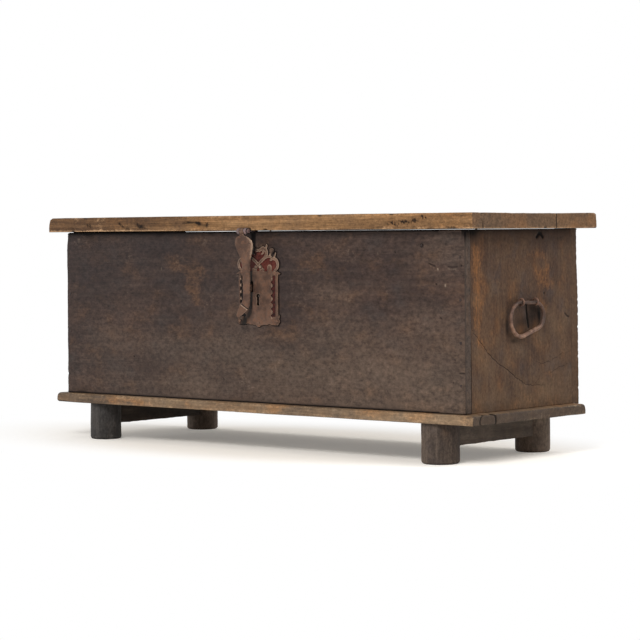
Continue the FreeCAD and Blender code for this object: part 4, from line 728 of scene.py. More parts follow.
def front_tint(flat, normal):
    """Darkest at the upper left, palest at the lower right."""
    x, y, z = flat.T
    tint = 0.45 * ease(x, -600, 600) + 0.8 * (1 - ease(z, 110, 460)) - 0.6
    tint += 0.3 * ease(x, 380, 520) * ease(z, 370, 420)
    tint += 0.25 * spots(flat, (-140, -188, 190), (110.0, 30, 60.0))
    tint -= 0.1 * (normal[:, 0] > FACING) * (y > -183)
    return tint + 0.12 * ripple(flat, 62, 120.0, (2, 1, 1))


def around_edges(places, half=0.05):
    """Two grid places close to each given one, which keep a step in the surface sharp."""
    return [place + side * half for place in places for side in (-1, 1)]


worn_board("front_board", "carcass", front_wood, 0, (-90, 255), 5, (3.7, 3.0, 3.7),
           board_arris, front_wear, front_tint,
           (around_edges(MORTISE[:2]), (), around_edges(MORTISE[2:]) +
            [*np.arange(387.0, 400.5, 1.5), *np.arange(178.0, 187.0, 1.5)]))

# The back board's crack, as places (x, z), and how much higher its top and fuller its face are at
# its right end.
BACK_CRACK = ((563, 262), (410, 258), (250, 265), (60, 262))
BACK_RISE, BACK_FULL = 2.4, 2.8


def end_arris(flat):
    """Next to no rounding, a little chipped."""
    return np.clip(0.6 + 0.2 * ripple(flat, 87, 30.0), 0.25, np.where(flat[:, 1] > 190, 1.2, 0.4))


def back_wear(flat, normal, low, high):
    """The back board: saw marks across it, a crack and dirt. Its right end is fuller and rises a
    little at the top."""
    x, y, z = flat.T
    nx, ny, nz = normal.T
    away = ny > FACING
    saw = np.maximum(0, np.cos(TURN * (x + 9 * ripple(flat, 74, 200.0)) / 17.0)) * 0.18
    gap, share = seam_distance(flat[:, ::2], BACK_CRACK)
    crack = bell(gap, 2.4) * (1 - ease(share, 0.7, 1.0)) * away
    bite = np.maximum(0, ripple(flat, 75, 9.0)) * (y > 200.9) * (np.abs(nx) > FACING)
    depth = uneven(flat, 71, 0.25, 90.0) + saw * away + 0.9 * crack + bite
    depth = np.where(np.abs(nz) > LEVEL, 0.0, depth) - BACK_RISE * (nz > RISING) * (x > 520)
    depth -= BACK_FULL * ease(x, 535, 562) * (ny > RISING) * (1 - ease(z, 290, 440))
    dirt_and_shade = 0.3 * fade(edge_distance(flat, low, high), 3.0) * away + 0.9 * crack
    dirt_and_shade += 0.3 * ease(ripple(flat, 73, 80.0), 0.6, 1.8)
    rim = rim_share(flat, normal)
    return depth, {"dirt_and_shade": dirt_and_shade * (1 - rim), "bare": 0.15 * away + 0.25 * rim,
                   "wear_and_highlight": 0.2 * rim}


def back_tint(flat, normal):
    """Cloudy, a little darker than the front."""
    return -0.15 + 0.22 * ripple(flat, 72, 220.0, (2, 1, 1))


worn_board("back_board", "carcass", back_wood, 0, (60, 290), 6, (4.6, 3.0, 4.4),
           end_arris, back_wear, back_tint, rubbed=0.1)

# The right end board, as places (y, z): its long crack, the finer cracks below the ring, the
# check inside it, single marks and a nail hole. Rings on it run about one middle.
END_RINGS = (72.0, 400.0)
LONG_CRACK = ((-169.4, 286), (-164, 267), (-143, 249), (-110, 219), (-82, 200), (-49, 185),
              (-15, 165), (12, 153), (29, 149), (74, 146))
FINE_CRACKS = (((49, 197), (74, 190), (124, 200), (140, 207), (165, 210)),
               ((99, 169), (140, 181), (168, 186)), ((-96, 214), (-84, 205), (-70, 202)),
               ((20, 148), (48, 152), (60, 158)))
# Deeper marks: a line, its reach, its depth and its dirt.
END_CUTS = ((((19.5, 316), (20.5, 300), (23, 284), (27.6, 266)), 1.7, 4.0, 1.4),
            (((158, 291), (166, 285), (172, 283)), 2.2, 1.8, 0.8),
            (((58, 448), (66, 455), (73, 455), (80, 448)), 3.0, 2.4, 1.1))
NAIL_HOLE = (84, 334)
# Places where the end boards' stain has worn through: the two of the streak near the front edge,
# then the others; place, reach along each, and weight.
END_STREAK = (((-155, 408), (13.0, 34.0), 0.85), ((-145, 326), (17.0, 74.0), 1.1))
END_PATCHES = (((60, 420), (40, 20), 0.5), ((88, 370), (34, 26), 0.62), ((100, 345), (26, 12), 0.5),
               ((20, 345), (40, 16), 0.4), ((-90, 360), (22, 16), 0.42), ((-8, 222), (14, 16), 0.5),
               ((96, 172), (30, 14), 0.6), ((-100, 420), (40, 14), 0.3), ((-60, 300), (30, 30), 0.2),
               ((-140, 250), (14, 40), 0.3), ((40, 130), (60, 12), 0.25))
# How far the right end board's top is worn down: everywhere, more to the front, and more again at
# the front edge.
TOP_WEAR = (0.6, 0.65, 0.5)
# Painted purple shade inside the ring, and painted shadows of the ring beside it.
RING_SHADE = (((44, 296), (24.0, 28.0), 1.0), ((4, 277), (28.0, 17.0), 0.8))
RING_SHADOWS = (((66, 292), (7.0, 22.0), 0.5), ((-46, 270), (7.0, 26.0), 0.5),
             ((-24, 240), (15.0, 7.0), 0.5))


def side_of(flat, path):
    """Distance to a line of runs, minus on its left side, so that it crosses 0 on the line, and
    the same without its sign."""
    path = np.array(path, dtype=float)
    best = np.full(len(flat), np.inf)
    signed = np.zeros(len(flat))
    for start, run in zip(path, np.diff(path, axis=0)):
        along = np.clip((flat - start) @ run / (run @ run), 0, 1)
        off = flat - start - along[:, None] * run
        gap = np.linalg.norm(off, axis=1)
        across = (off @ np.array((-run[1], run[0]))) / np.linalg.norm(run)
        signed = np.where(gap < best, across, signed)
        best = np.minimum(best, gap)
    return signed, best


def end_marks(flat):
    """Cracks of the right end board: depth and dirt that fall off from each line of runs, and the
    signed distance to the nearest one, which its finish draws as a thin split."""
    place = flat[:, 1:]
    sway = 0.9 * ripple(flat, 84, 14.0) + 0.5 * ripple(flat, 83, 6.0)
    depth, dirt_and_shade, cleft = (np.zeros(len(flat)) for turn in range(3))
    split = np.full(len(flat), 99.0)
    for path, weight in [(LONG_CRACK, 1.0)] + [(path, 0.55) for path in FINE_CRACKS]:
        signed, gap = side_of(place, path)
        share = seam_distance(place, path)[1]
        taper = np.sin(np.pi * np.clip(share, 0.02, 0.98)) ** 0.3
        near = bell(gap, 6.0)
        split = np.where(near * weight > cleft, signed + sway, split)
        cleft = np.maximum(cleft, near * weight * taper)
        soft = bell(gap, 1.8) * taper * weight
        depth += 0.7 * soft
        dirt_and_shade += 0.22 * soft
    for path, reach, cut, dirt in END_CUTS:
        mark = bell(seam_distance(place, path)[0], reach)
        depth += cut * mark
        dirt_and_shade += dirt * mark
    hole = spots(place, NAIL_HOLE, 2.0)
    return depth + 2.4 * hole, dirt_and_shade + 1.15 * hole, split, cleft


def end_wear(flat, normal, low, high):
    """An end board: waves, cracks on the right one, a worn streak in fine lines, patches, darker
    edges, painted shade along the top under the lid, a dark line at the front joint, painted shade
    inside the ring with its painted shadows beside it, and a top that is worn lower to the front."""
    x, y, z = flat.T
    place, right = flat[:, 1:], x.max() > 0
    depth = uneven(flat, 81 + right, 0.22, 70.0, 2)
    dirt_and_shade = 0.2 * fade(edge_distance(flat, low, high), 3.0) * (y < 100)
    # Painted shade along the top under the lid's overhang, most at the front corner.
    dirt_and_shade += 0.48 * bell(z - 466, 14) + 0.35 * bell(y + 158, 16) * bell(z - 462, 26)
    dirt_and_shade += 0.9 * fade(np.abs(y + 168), 1.6) * (1 - ease(z, 160, 300))
    split, cleft = np.zeros(len(flat)), np.zeros(len(flat))
    if right:
        outside = x > END_FACE
        cuts, dirt, split, cleft = end_marks(flat)
        depth += cuts * outside
        dirt_and_shade += dirt * outside
        cleft *= outside
    # Painted shade inside the ring and the ring's painted shadows, which also take away the bare
    # patches there.
    shade = np.minimum(patches(place, RING_SHADE), 1)
    dirt_and_shade += patches(place, RING_SHADOWS) + 0.58 * shade
    bare = np.minimum(patches(place, END_STREAK), 1.1)
    bare *= 0.8 + 0.35 * ripple(flat, 89, 7.0, (1, 1, 14))
    bare += patches(place, END_PATCHES) + 0.14 * ripple(flat, 86, 34.0) - 0.8 * shade
    whole, forward, front = TOP_WEAR
    worn_top = whole + forward * (1 - ease(y, -120, 160)) + front * (1 - ease(y, -165, -110))
    depth = np.where(np.abs(normal[:, 2]) > LEVEL, 0.0, depth)
    depth = np.where((normal[:, 2] > RISING) & right, worn_top, depth)
    rim = rim_share(flat, normal)
    return depth, {"dirt_and_shade": dirt_and_shade * (1 - rim), "bare": bare * (1 - rim) + 0.3 * rim,
                   "wear_and_highlight": 0.25 * rim, "split": split, "cleft": cleft}


def end_tint(flat, normal):
    """Darker along the top and inside the ring, as painted shade under the lid and of the ring;
    paler towards the foot.
    """
    z = flat[:, 2]
    inside = spots(flat[:, 1:], *RING_SHADE[0][:2])
    tint = 0.25 * (1 - ease(z, 110, 330)) - 0.55 * bell(z - 462, 20) - 0.9 * inside
    return tint + 0.14 * ripple(flat, 85, 60.0)


for lot, node in ((8, "right_end_board"), (9, "left_end_board")):
    mesh = worn_board(node, "carcass", end_wood, 2, (0, 0), lot, (4.0, 2.1, 2.1),
                      end_arris, end_wear, end_tint, rim=6.0).data
    points = np.empty(len(mesh.vertices) * 3)
    mesh.vertices.foreach_get("co", points)
    points = points.reshape(-1, 3) / MM
    rings = np.linalg.norm(points[:, 1:] - END_RINGS, axis=1) + 5 * ripple(points, 88, 70.0)
    for word, numbers in (("ring", rings), ("end", np.zeros(len(points)))):
        mesh.attributes[word].data.foreach_set("value", numbers.astype(np.float32))


# Places further right than this are on the base's right end. The base is shorter at the back of
# its right end and all over its left one.
BASE_END = 576
SHORT_BACK, SHORT_LEFT = 5.0, 4.5
# Orange places along the base's front edge, and a grey one: place, reach and weight.
BASE_PATCHES = tuple(((x, -200, 92), (reach, 40, 12.0), weight) for x, reach, weight in
                     ((-440, 40, 0.4), (-305, 55, 0.5), (-172, 24, 0.5), (60, 60, 0.3),
                      (300, 60, 0.4), (440, 70, 0.5)))
GREY_PATCH = (((-256, -200, 95), (36.0, 20, 12.0), -0.6),)
# The knot in the base's right end: the middle and reach (y, z) of its ring and of its core, and
# the hooked check beside it.
KNOT_RING = ((-150, 88), (26, 18))
KNOT_CORE = ((-148, 88), (24, 16))
KNOT_HOOK = ((-139, 103), (-128.3, 101), (-123, 96.4), (-122.2, 85))


def base_arris(flat):
    """A moulded upper outer edge of 6 mm, worn unevenly, fuller at the left end; close joints
    between the planks."""
    x, y, z = flat.T
    outer = np.minimum(y - BASE_FRONT, BASE_HALF - np.abs(x))
    edge = (1.6 + 4.4 * ease(z, 88, 101) + 3.4 * bell(x + 590, 45)) * (1 - ease(outer, 8.0, 24.0))
    return np.clip(0.3 + edge * (1 + 0.25 * ripple(flat, 91, 45.0)), 0.25, 9.0)


def base_wear(flat, normal, low, high):
    """Waves, chips along the foot of its edge, a knot with curved checks at the right front end,
    and ends that are worn shorter, the right one only at the back."""
    x, y = flat[:, :2].T
    nx, ny, nz = normal.T
    place, right = flat[:, 1:], x > BASE_END
    ring, core = (np.hypot(*((place - middle) / reach).T) for middle, reach in
                  (KNOT_RING, KNOT_CORE))
    knot = bell(np.abs(ring - 1), 0.09) * right * (y < -110)
    core = ease(1.0 - core, 0.0, 0.4) * right * (y < -110)
    hook = bell(seam_distance(place, KNOT_HOOK)[0], 1.5) * right
    chips = np.maximum(0, ripple(flat, 93, 22.0) - 0.9) * (nz < 0.2)
    depth = uneven(flat, 92, 0.3, 100.0) + 0.8 * chips * fade(edge_distance(flat, low, high), 4.0)
    depth += 1.1 * knot + 1.5 * hook
    depth += SHORT_BACK * ease(x, 520, 575) * (ny > FACING) + SHORT_LEFT * (nx < -FACING)
    depth = np.where((nz > 0.9) & (y > -186) & (np.abs(x) < 562), 0, depth)
    joint = np.minimum(*(np.abs(y - middle) for middle in BASE_JOINTS)) + 9 * (x > 580)
    # Dirt in the knot, its check and the joints, and painted shade on the underside.
    dirt_and_shade = knot + 1.1 * hook + 0.6 * bell(joint, 1.2) + 0.28 * core + 0.5 * (nz < -FACING)
    dirt_and_shade += 0.3 * ease(ripple(flat, 95, 50.0, (3, 1, 1)), 0.7, 1.8)
    bare = 0.12 + 0.3 * ripple(flat, 96, 60.0, (3, 1, 1)) + patches(flat, BASE_PATCHES + GREY_PATCH)
    return depth, {"dirt_and_shade": dirt_and_shade, "bare": bare * (np.abs(nx) < FACING)}


def base_tint(flat, normal):
    """Darker towards the left end and on both ends, with painted shade on its top at both ends;
    palest at the front on the right.
    """
    x = flat[:, 0]
    nx, ny, nz = normal.T
    dark = 0.7 * (1 - ease(x, -600, -250)) + 0.45 * (np.abs(nx) > FACING)
    dark -= 0.3 * ease(x, 150, 500) * (ny < -FACING)
    dark += 0.75 * (nz > RISING) * ease(np.abs(x), 560, 568)
    return 0.15 - dark + 0.1 * ripple(flat, 97, 150.0, (3, 1, 1))


# The planks of the base: node, pith (y, z) and extra places of the grid.
for lot, (node, pith, extra) in enumerate((
        ("base_front_plank", (-130, 60),
         ((), np.arange(-183, -124.5, 1.6), np.arange(83, 102, 1.6))),
        ("base_middle_plank", (-20, 20), NO_EXTRA),
        ("base_back_plank", (150, 30), NO_EXTRA)), start=12):
    worn_board(node, "carcass", base_wood, 0, pith, lot, (6.0, 6.0, 3.0), base_arris,
               base_wear, base_tint, extra, rubbed=0.3, joints=BASE_JOINTS)


def beam_arris(flat):
    """Rounded by an axe to 3 mm or so."""
    return np.clip(3.0 + 1.2 * ripple(flat, 101, 40.0), 1.0, 6.0)


def beam_wear(flat, normal, low, high):
    """Hewn flats: long waves with a ridge where two strokes meet."""
    strokes = np.abs(np.sin(np.pi * (flat[:, 1] + 12 * ripple(flat, 103, 90.0)) / 38.0))
    dirt_and_shade = 0.21 + 0.12 * ripple(flat, 104, 40.0)
    return uneven(flat, 102, 0.5, 60.0, 1) + 0.5 * strokes, {"dirt_and_shade": dirt_and_shade}


def beam_tint(flat, normal):
    """Darker on the left beam than on the right one, as painted shade: the left one lies in the
    shade under the chest.
    """
    return 0.95 * (flat[:, 0] > 0) - 0.6 + 0.15 * ripple(flat, 105, 70.0)


for lot, node in ((16, "right_beam"), (17, "left_beam")):
    worn_board(node, "carcass", beam_wood, 1, (0, 60), lot, (4.0, 5.0, 4.0),
               beam_arris, beam_wear, beam_tint, rubbed=0.55)


# A foot: the radius of its tenon, the level of its shoulder, the spacing of the rings of its
# side, its worn lower edge as steps in from its radius and up, and the way of its painted light.
TENON = 14.0
SHOULDER = 81.35
FOOT_STEP = 3.0
FOOT_EDGE = ((5.5, 0.0), (3.2, 0.5), (1.6, 1.6), (0.5, 3.4), (0.0, 6.0))
FOOT_AROUND = 96
LIGHT_WAY = (0.76, 0.65)


def foot_checks(draw, turn, level, radius):
    """Four short cracks down a foot's side, each a narrow bell about a bent line."""
    checks = np.zeros_like(level)
    for place in draw.uniform(0, TURN, 4):
        bend = 0.03 * np.sin(level / 9.0 + place * 5)
        off = np.abs((turn - place - bend + np.pi) % TURN - np.pi) * radius
        top = draw.uniform(20, 80)
        start = draw.uniform(-30, top - 12)
        reach = ease(level, start, start + 8) * (1 - ease(level, top - 10, top))
        checks += 0.45 * bell(off, 1.6) * reach
    return np.minimum(checks, 1)


def foot(node, lot, tone, finish=foot_wood, side_light=0.0):
    """A round foot: rings of a profile about its middle, from the sole's middle over a worn edge
    up to its tenon, with a few checks down its side. By the weight of its side light it is painted
    paler towards its front left side and darker by as much towards its back right one, as painted
    light and shade."""
    low, high = node_box(node)
    middle = (low[:2] + high[:2]) / 2
    radius = (high[0] - low[0]) / 2
    profile = [(radius * 0.35, 0.0), (radius * 0.7, 0.0)]
    profile += [(radius - step, level) for step, level in FOOT_EDGE]
    profile += [(radius, level) for level in np.arange(9.0, SHOULDER - 1, FOOT_STEP)]
    profile += [(radius - 0.4, SHOULDER - 0.3), (radius - 1.2, SHOULDER), (TENON, SHOULDER),
                (TENON, high[2]), (TENON * 0.5, high[2])]
    profile = np.array(profile)
    turn, level = np.meshgrid(np.arange(FOOT_AROUND) * TURN / FOOT_AROUND, profile[:, 1])
    rays = np.repeat(profile[:, :1], FOOT_AROUND, axis=1)
    ring = np.stack((np.cos(turn), np.sin(turn)), axis=-1)
    rough = np.concatenate((ring * 60, level[..., None]), axis=-1).reshape(-1, 3) + lot * 100
    slow, quick, chipped = (ripple(rough, lot + number, size, stretch).reshape(rays.shape)
                            for number, (size, stretch) in enumerate((
                                (70.0, (1, 1, 2)), (12.0, (1, 1, 4)), (16.0, (1, 1, 1)))))
    checks = foot_checks(np.random.default_rng(lot), turn, level, radius)
    sink = 0.5 * (1 + 0.8 * slow + 0.3 * quick) + 1.4 * checks
    sink += 2.2 * np.maximum(0, chipped - 0.2) * fade(level, 5.0)
    rays = np.where((rays > TENON + 1) & (level > 0), rays - np.maximum(sink, 0), rays)
    points = np.concatenate((middle + rays[..., None] * ring, level[..., None]), axis=-1)
    points, faces = capped(points.reshape(-1, 3), tube_faces(len(profile), FOOT_AROUND),
                           len(profile), FOOT_AROUND)
    dirt_and_shade = np.append(0.9 * checks + 0.5 * fade(level, 4.0), (0, 0))
    wear_and_highlight = np.append(0.35 * bell(level - 6, 5.0) * (slow > 0), (0, 0))
    away = points[:, :2] - middle
    # Painted light and shade across the foot, by the weight of its side light.
    tone = tone - side_light * (away @ LIGHT_WAY) / radius + 0.15 * ripple(points, lot + 3, 40.0)
    marks = {"ring": np.linalg.norm(away - 4, axis=1), "lot": np.full(len(points), lot),
             "end": (points[:, 2] < 0.4) * 1.0, "tone": tone, "dirt_and_shade": dirt_and_shade, "wear_and_highlight": wear_and_highlight,
             "bare": np.zeros(len(points))}
    piece(f"worn_{node}", points, faces, "carcass", finish, [node], marks, 50)


foot("foot_front_right", 21, -0.1, side_light=0.5)
foot("foot_front_left", 23, 0.0, grey_foot_wood)
foot("foot_back_right", 25, 0.65, side_light=-0.5)
foot("foot_back_left", 27, 0.6)


# ---------------------------------------------------------------- lock plate

# The lock plate: the place (x, z) of its middle at its field's top, the field's half width and
# height, the place of its back along Y, and its thickness.
PLATE_PLACE = np.array((22.8, 380.0))
PLATE_HALF = 55.0
FIELD_HEIGHT = 112.0
PLATE_BACK = -188.6
PLATE_THICK = 1.8


def arc(middle, radius, start, end, count):
    """Places on an arc between two angles in degrees, whose radius runs from one to another."""
    angles = np.radians(np.linspace(start, end, count))
    reach = np.linspace(*radius, count)
    return np.stack((middle[0] + reach * np.cos(angles), middle[1] + reach * np.sin(angles)), 1)


def band(flat, path, halves):
    """Signed distance to a forged band: the distance to its line less its half width there."""
    gap, share = seam_distance(flat, path)
    return gap - np.interp(share, np.linspace(0, 1, len(halves)), halves)


def disc(flat, middle, radius):
    """Signed distance to a disc."""
    return np.linalg.norm(flat - middle, axis=1) - radius


def slab(flat, low, high, corner=0.0):
    """Signed distance to an upright rectangle with rounded corners."""
    middle = (np.array(low) + high) / 2
    half = (np.array(high) - low) / 2 - corner
    off = np.abs(flat - middle) - half
    outside = np.linalg.norm(np.maximum(off, 0), axis=1)
    return outside + np.minimum(off.max(axis=1), 0) - corner


# The crest on one side, from the plate's place: bands with their half widths, and discs. Each is
# repeated as its mirror image. The large curl and the small one come first.
LARGE_CURL, SMALL_CURL, NAIL_LOBE, LOW_LOBE = (42.5, 15), (13.4, 39), (37.3, 43.8), (5.9, 9.4)
CREST_BANDS = (
    (arc(LARGE_CURL, (13.4, 11.8), -78, 126, 26), (1.8, 3.0, 3.4, 3.2, 2.2)),
    (arc(SMALL_CURL, (10.4, 9.4), -62, 156, 26), (2.6, 4.0, 4.2, 3.6, 1.8)),
    (arc((9.8, 40.2), (3.6, 6.2), -80, 150, 14), (1.4, 2.0, 2.2, 1.4)),
    (((-13, 3.5), (-5, 11), (4, 18.2), (11, 23.4), (18, 28.6)), (2.0, 2.8, 2.9, 3.0, 3.2)),
    (((18, 28.6), (27, 31.2), (36, 31.0)), (3.0, 2.6, 2.4)),
    (((31, 31), (34.5, 37), (37.3, 43.8)), (2.0, 1.7, 2.4)),
    (((44.5, 30), (47.2, 34), (49.2, 39.2)), (2.2, 1.6, 0.7)),
    (((21.6, 48), (23.4, 51.4), (24.5, 56)), (2.2, 2.6, 1.5)),
    (((51, -3), (55.5, -3.6), (60.2, -4.6)), (2.4, 1.9, 0.8)),
    (((31.8, -2), (31.8, 8)), (5.2, 5.6)),
    (((5.9, -2), (5.9, 8)), (2.4, 1.8)),
)
VEINED_BANDS = 5
CREST_DISCS = (((31.8, 8.4), 6.0), (LOW_LOBE, 4.9), ((-14, 3), 3.5), ((3.0, 44.6), 3.3),
               (NAIL_LOBE, 6.1))
RINGED_LOBES = ((NAIL_LOBE, 5.4), (LOW_LOBE, 4.0))
# The plate's foot on one side, from its middle there: the curl, its tip, the waist cut beside the
# drop, the drop and its arm.
CURL = ((52.7, 7.5), 6.4)
CURL_TIP = (((53, 10), (56, 14), (59, 19)), (2.4, 2.0, 0.8))
WAIST = ((30.0, -8.2), 10.0)
DROP = ((0, 1.0), 6.2)
DROP_ARM = (((0, 1), (9, 1.2), (16, 2.6)), (5.0, 2.6, 2.6))
# The keyhole: its middle across, its head's level and radius, its slot's middle level and half
# height, and its half width. Then the corners of the slot for the hasp's staple.
KEY_MIDDLE, KEY_HEAD, KEY_RADIUS = -1.0, -51.6, 5.2
KEY_SLOT, KEY_TALL, KEY_HALF = -62.0, 10.0, 3.2
STAPLE_SLOT = ((-19.4, -44.3), (-14.1, -20.6))
# The channel on one side by its corners; the bites along its outer side with the teeth along its
# inner one; and the level of one nub of the rope border.
CHANNEL = ((39.5, -95.0), (48.6, -8.0))
FIRST_BITE, BITE_PITCH, BITES = -22.5, 14.0, 6
NUB_LEVEL = -29.0
# How far the leather shows beyond the plate, and how much further on its right; that rim is
# painted black as the plate's shadow.
BACKING_RIM, RIGHT_RIM = 1.3, 0.9


def from_plate(flat):
    """Places from the plate's own place, and the same folded onto its right side."""
    near = flat - PLATE_PLACE
    return near, np.stack((np.abs(near[:, 0]), near[:, 1]), axis=1)


def level_out(flat):
    """Places (x, z) as places in space, for a ripple."""
    return np.pad(flat, ((0, 0), (0, 1)))


def keyhole(near):
    """Signed distance to a keyhole: a round head over a slot that flares at its foot."""
    half = KEY_HALF + 2.0 * ease(-near[:, 1], 67.0, 72.0)
    slot = np.maximum(np.abs(near[:, 0] - KEY_MIDDLE) - half,
                      np.abs(near[:, 1] - KEY_SLOT) - KEY_TALL)
    return np.minimum(disc(near, (KEY_MIDDLE, KEY_HEAD), KEY_RADIUS), slot)


def plate_shape(flat):
    """Signed distance to the plate's outer form: its field, crest, curls and drop."""
    near, half = from_plate(flat)
    foot = half + (0, FIELD_HEIGHT)
    forms = [slab(near, (-PLATE_HALF, -FIELD_HEIGHT), (PLATE_HALF, 0.0), 1.0)]
    for side in (1, -1):
        forms += [band(near * (side, 1), *strip) for strip in CREST_BANDS]
        forms += [disc(near * (side, 1), *lobe) for lobe in CREST_DISCS]
    forms += [disc(foot, *CURL), band(foot, *CURL_TIP)]
    shape = np.maximum(np.minimum.reduce(forms), -disc(foot, *WAIST))
    shape = np.minimum.reduce((shape, disc(foot, *DROP), band(foot, *DROP_ARM)))
    return shape + 0.25 * ripple(level_out(near), 111, 24.0)


def plate_holes(near):
    """Signed distance to the keyhole and the slot for the hasp's staple."""
    return np.minimum(keyhole(near), slab(near, *STAPLE_SLOT, 0.6))


def plate_outline(flat):
    """Signed distance to the pierced plate: its outer form less its holes and the two channels,
    with teeth along their inner sides and bites along the left one's outer side."""
    near, half = from_plate(flat)
    inner, outer = (corner[0] for corner in CHANNEL)
    cuts = [slab(half, *CHANNEL, 0.8), plate_holes(near)]
    for level in FIRST_BITE - BITE_PITCH * np.arange(BITES):
        cuts.append(np.abs(half[:, 0] - inner) * 0.9 + np.abs(half[:, 1] - level) - 5.0)
        cuts.append(disc(near, (-outer, level + 1.0), 3.0))
    return np.maximum(plate_shape(flat), -np.minimum.reduce(cuts))


def backing_form(flat):
    """Signed distance to the plate's outer form with its crest filled."""
    half = from_plate(flat)[1]
    return np.minimum.reduce((
        plate_shape(flat), disc(half, LARGE_CURL, 11.5), disc(half, SMALL_CURL, 9.0),
        slab(half, (-1.0, 20.0), (13.4, 41.0), 1.0), slab(half, (-1.0, -1.0), (42.0, 29.5), 3.0)))


def backing_outline(flat):
    """Signed distance to the leather: the filled form, a little wider, less the keyhole and the
    slot."""
    near = from_plate(flat)[0]
    wider = BACKING_RIM + RIGHT_RIM * (near[:, 0] > 40)
    return np.maximum(backing_form(flat) - wider, -plate_holes(near))


# How often a sheet's cells and its outline are put right, and the step that finds a slope.
SHEET_PASSES = 3
TINY_STEP = 0.05


def cut_sheet(shape, low, high, cell):
    """Square cells whose middles lie inside a shape, with their outer corners drawn onto its
    outline: each moves against the slope of the signed distance by that distance. A corner that
    only two opposite cells share gets a third one."""
    xs = np.arange(low[0], high[0], cell)
    zs = np.arange(low[1], high[1], cell)
    grid = np.stack(np.meshgrid(xs, zs, indexing="ij"), axis=-1)
    middles = (grid[:-1, :-1] + grid[1:, 1:]) / 2
    full = (shape(middles.reshape(-1, 2)) < 0).reshape(middles.shape[:2])
    for turn in range(SHEET_PASSES):
        rising = full[:-1, :-1] & full[1:, 1:] & ~full[1:, :-1] & ~full[:-1, 1:]
        falling = ~full[:-1, :-1] & ~full[1:, 1:] & full[1:, :-1] & full[:-1, 1:]
        full[1:, :-1] |= rising
        full[:-1, :-1] |= falling
    column, row = np.nonzero(full)
    count = len(zs)
    quads = np.stack((column * count + row, (column + 1) * count + row,
                      (column + 1) * count + row + 1, column * count + row + 1), axis=1)
    used, quads = np.unique(quads, return_inverse=True)
    quads = quads.reshape(-1, 4)
    flat = grid.reshape(-1, 2)[used]
    edges = np.concatenate([quads[:, [k, (k + 1) % 4]] for k in range(4)])
    forward = edges[:, 0] * len(flat) + edges[:, 1]
    backward = edges[:, 1] * len(flat) + edges[:, 0]
    rim = edges[~np.isin(forward, backward)]
    bound = np.unique(rim)
    for turn in range(SHEET_PASSES):
        place = flat[bound]
        slope = np.stack([(shape(place + step) - shape(place - step)) / (2 * TINY_STEP)
                          for step in ((TINY_STEP, 0), (0, TINY_STEP))], axis=1)
        size = np.maximum((slope ** 2).sum(axis=1), 0.3)
        move = -slope * (shape(place) / size)[:, None]
        reach = np.maximum(np.linalg.norm(move, axis=1), 1e-9)
        flat[bound] = place + 0.8 * move * np.minimum(1, 0.7 * cell / reach)[:, None]
    return flat, quads, rim


def sheet_shell(flat, quads, rim, front_y, back_y):
    """A thin closed plate: the cells in front, the same turned round behind, walls on the rim."""
    count = len(flat)
    points = np.concatenate([np.insert(flat, 1, y, axis=1) for y in (front_y, back_y)])
    walls = np.stack((rim[:, 1], rim[:, 0], rim[:, 0] + count, rim[:, 1] + count), axis=1)
    return points, [np.concatenate((quads, quads[:, ::-1] + count, walls))]


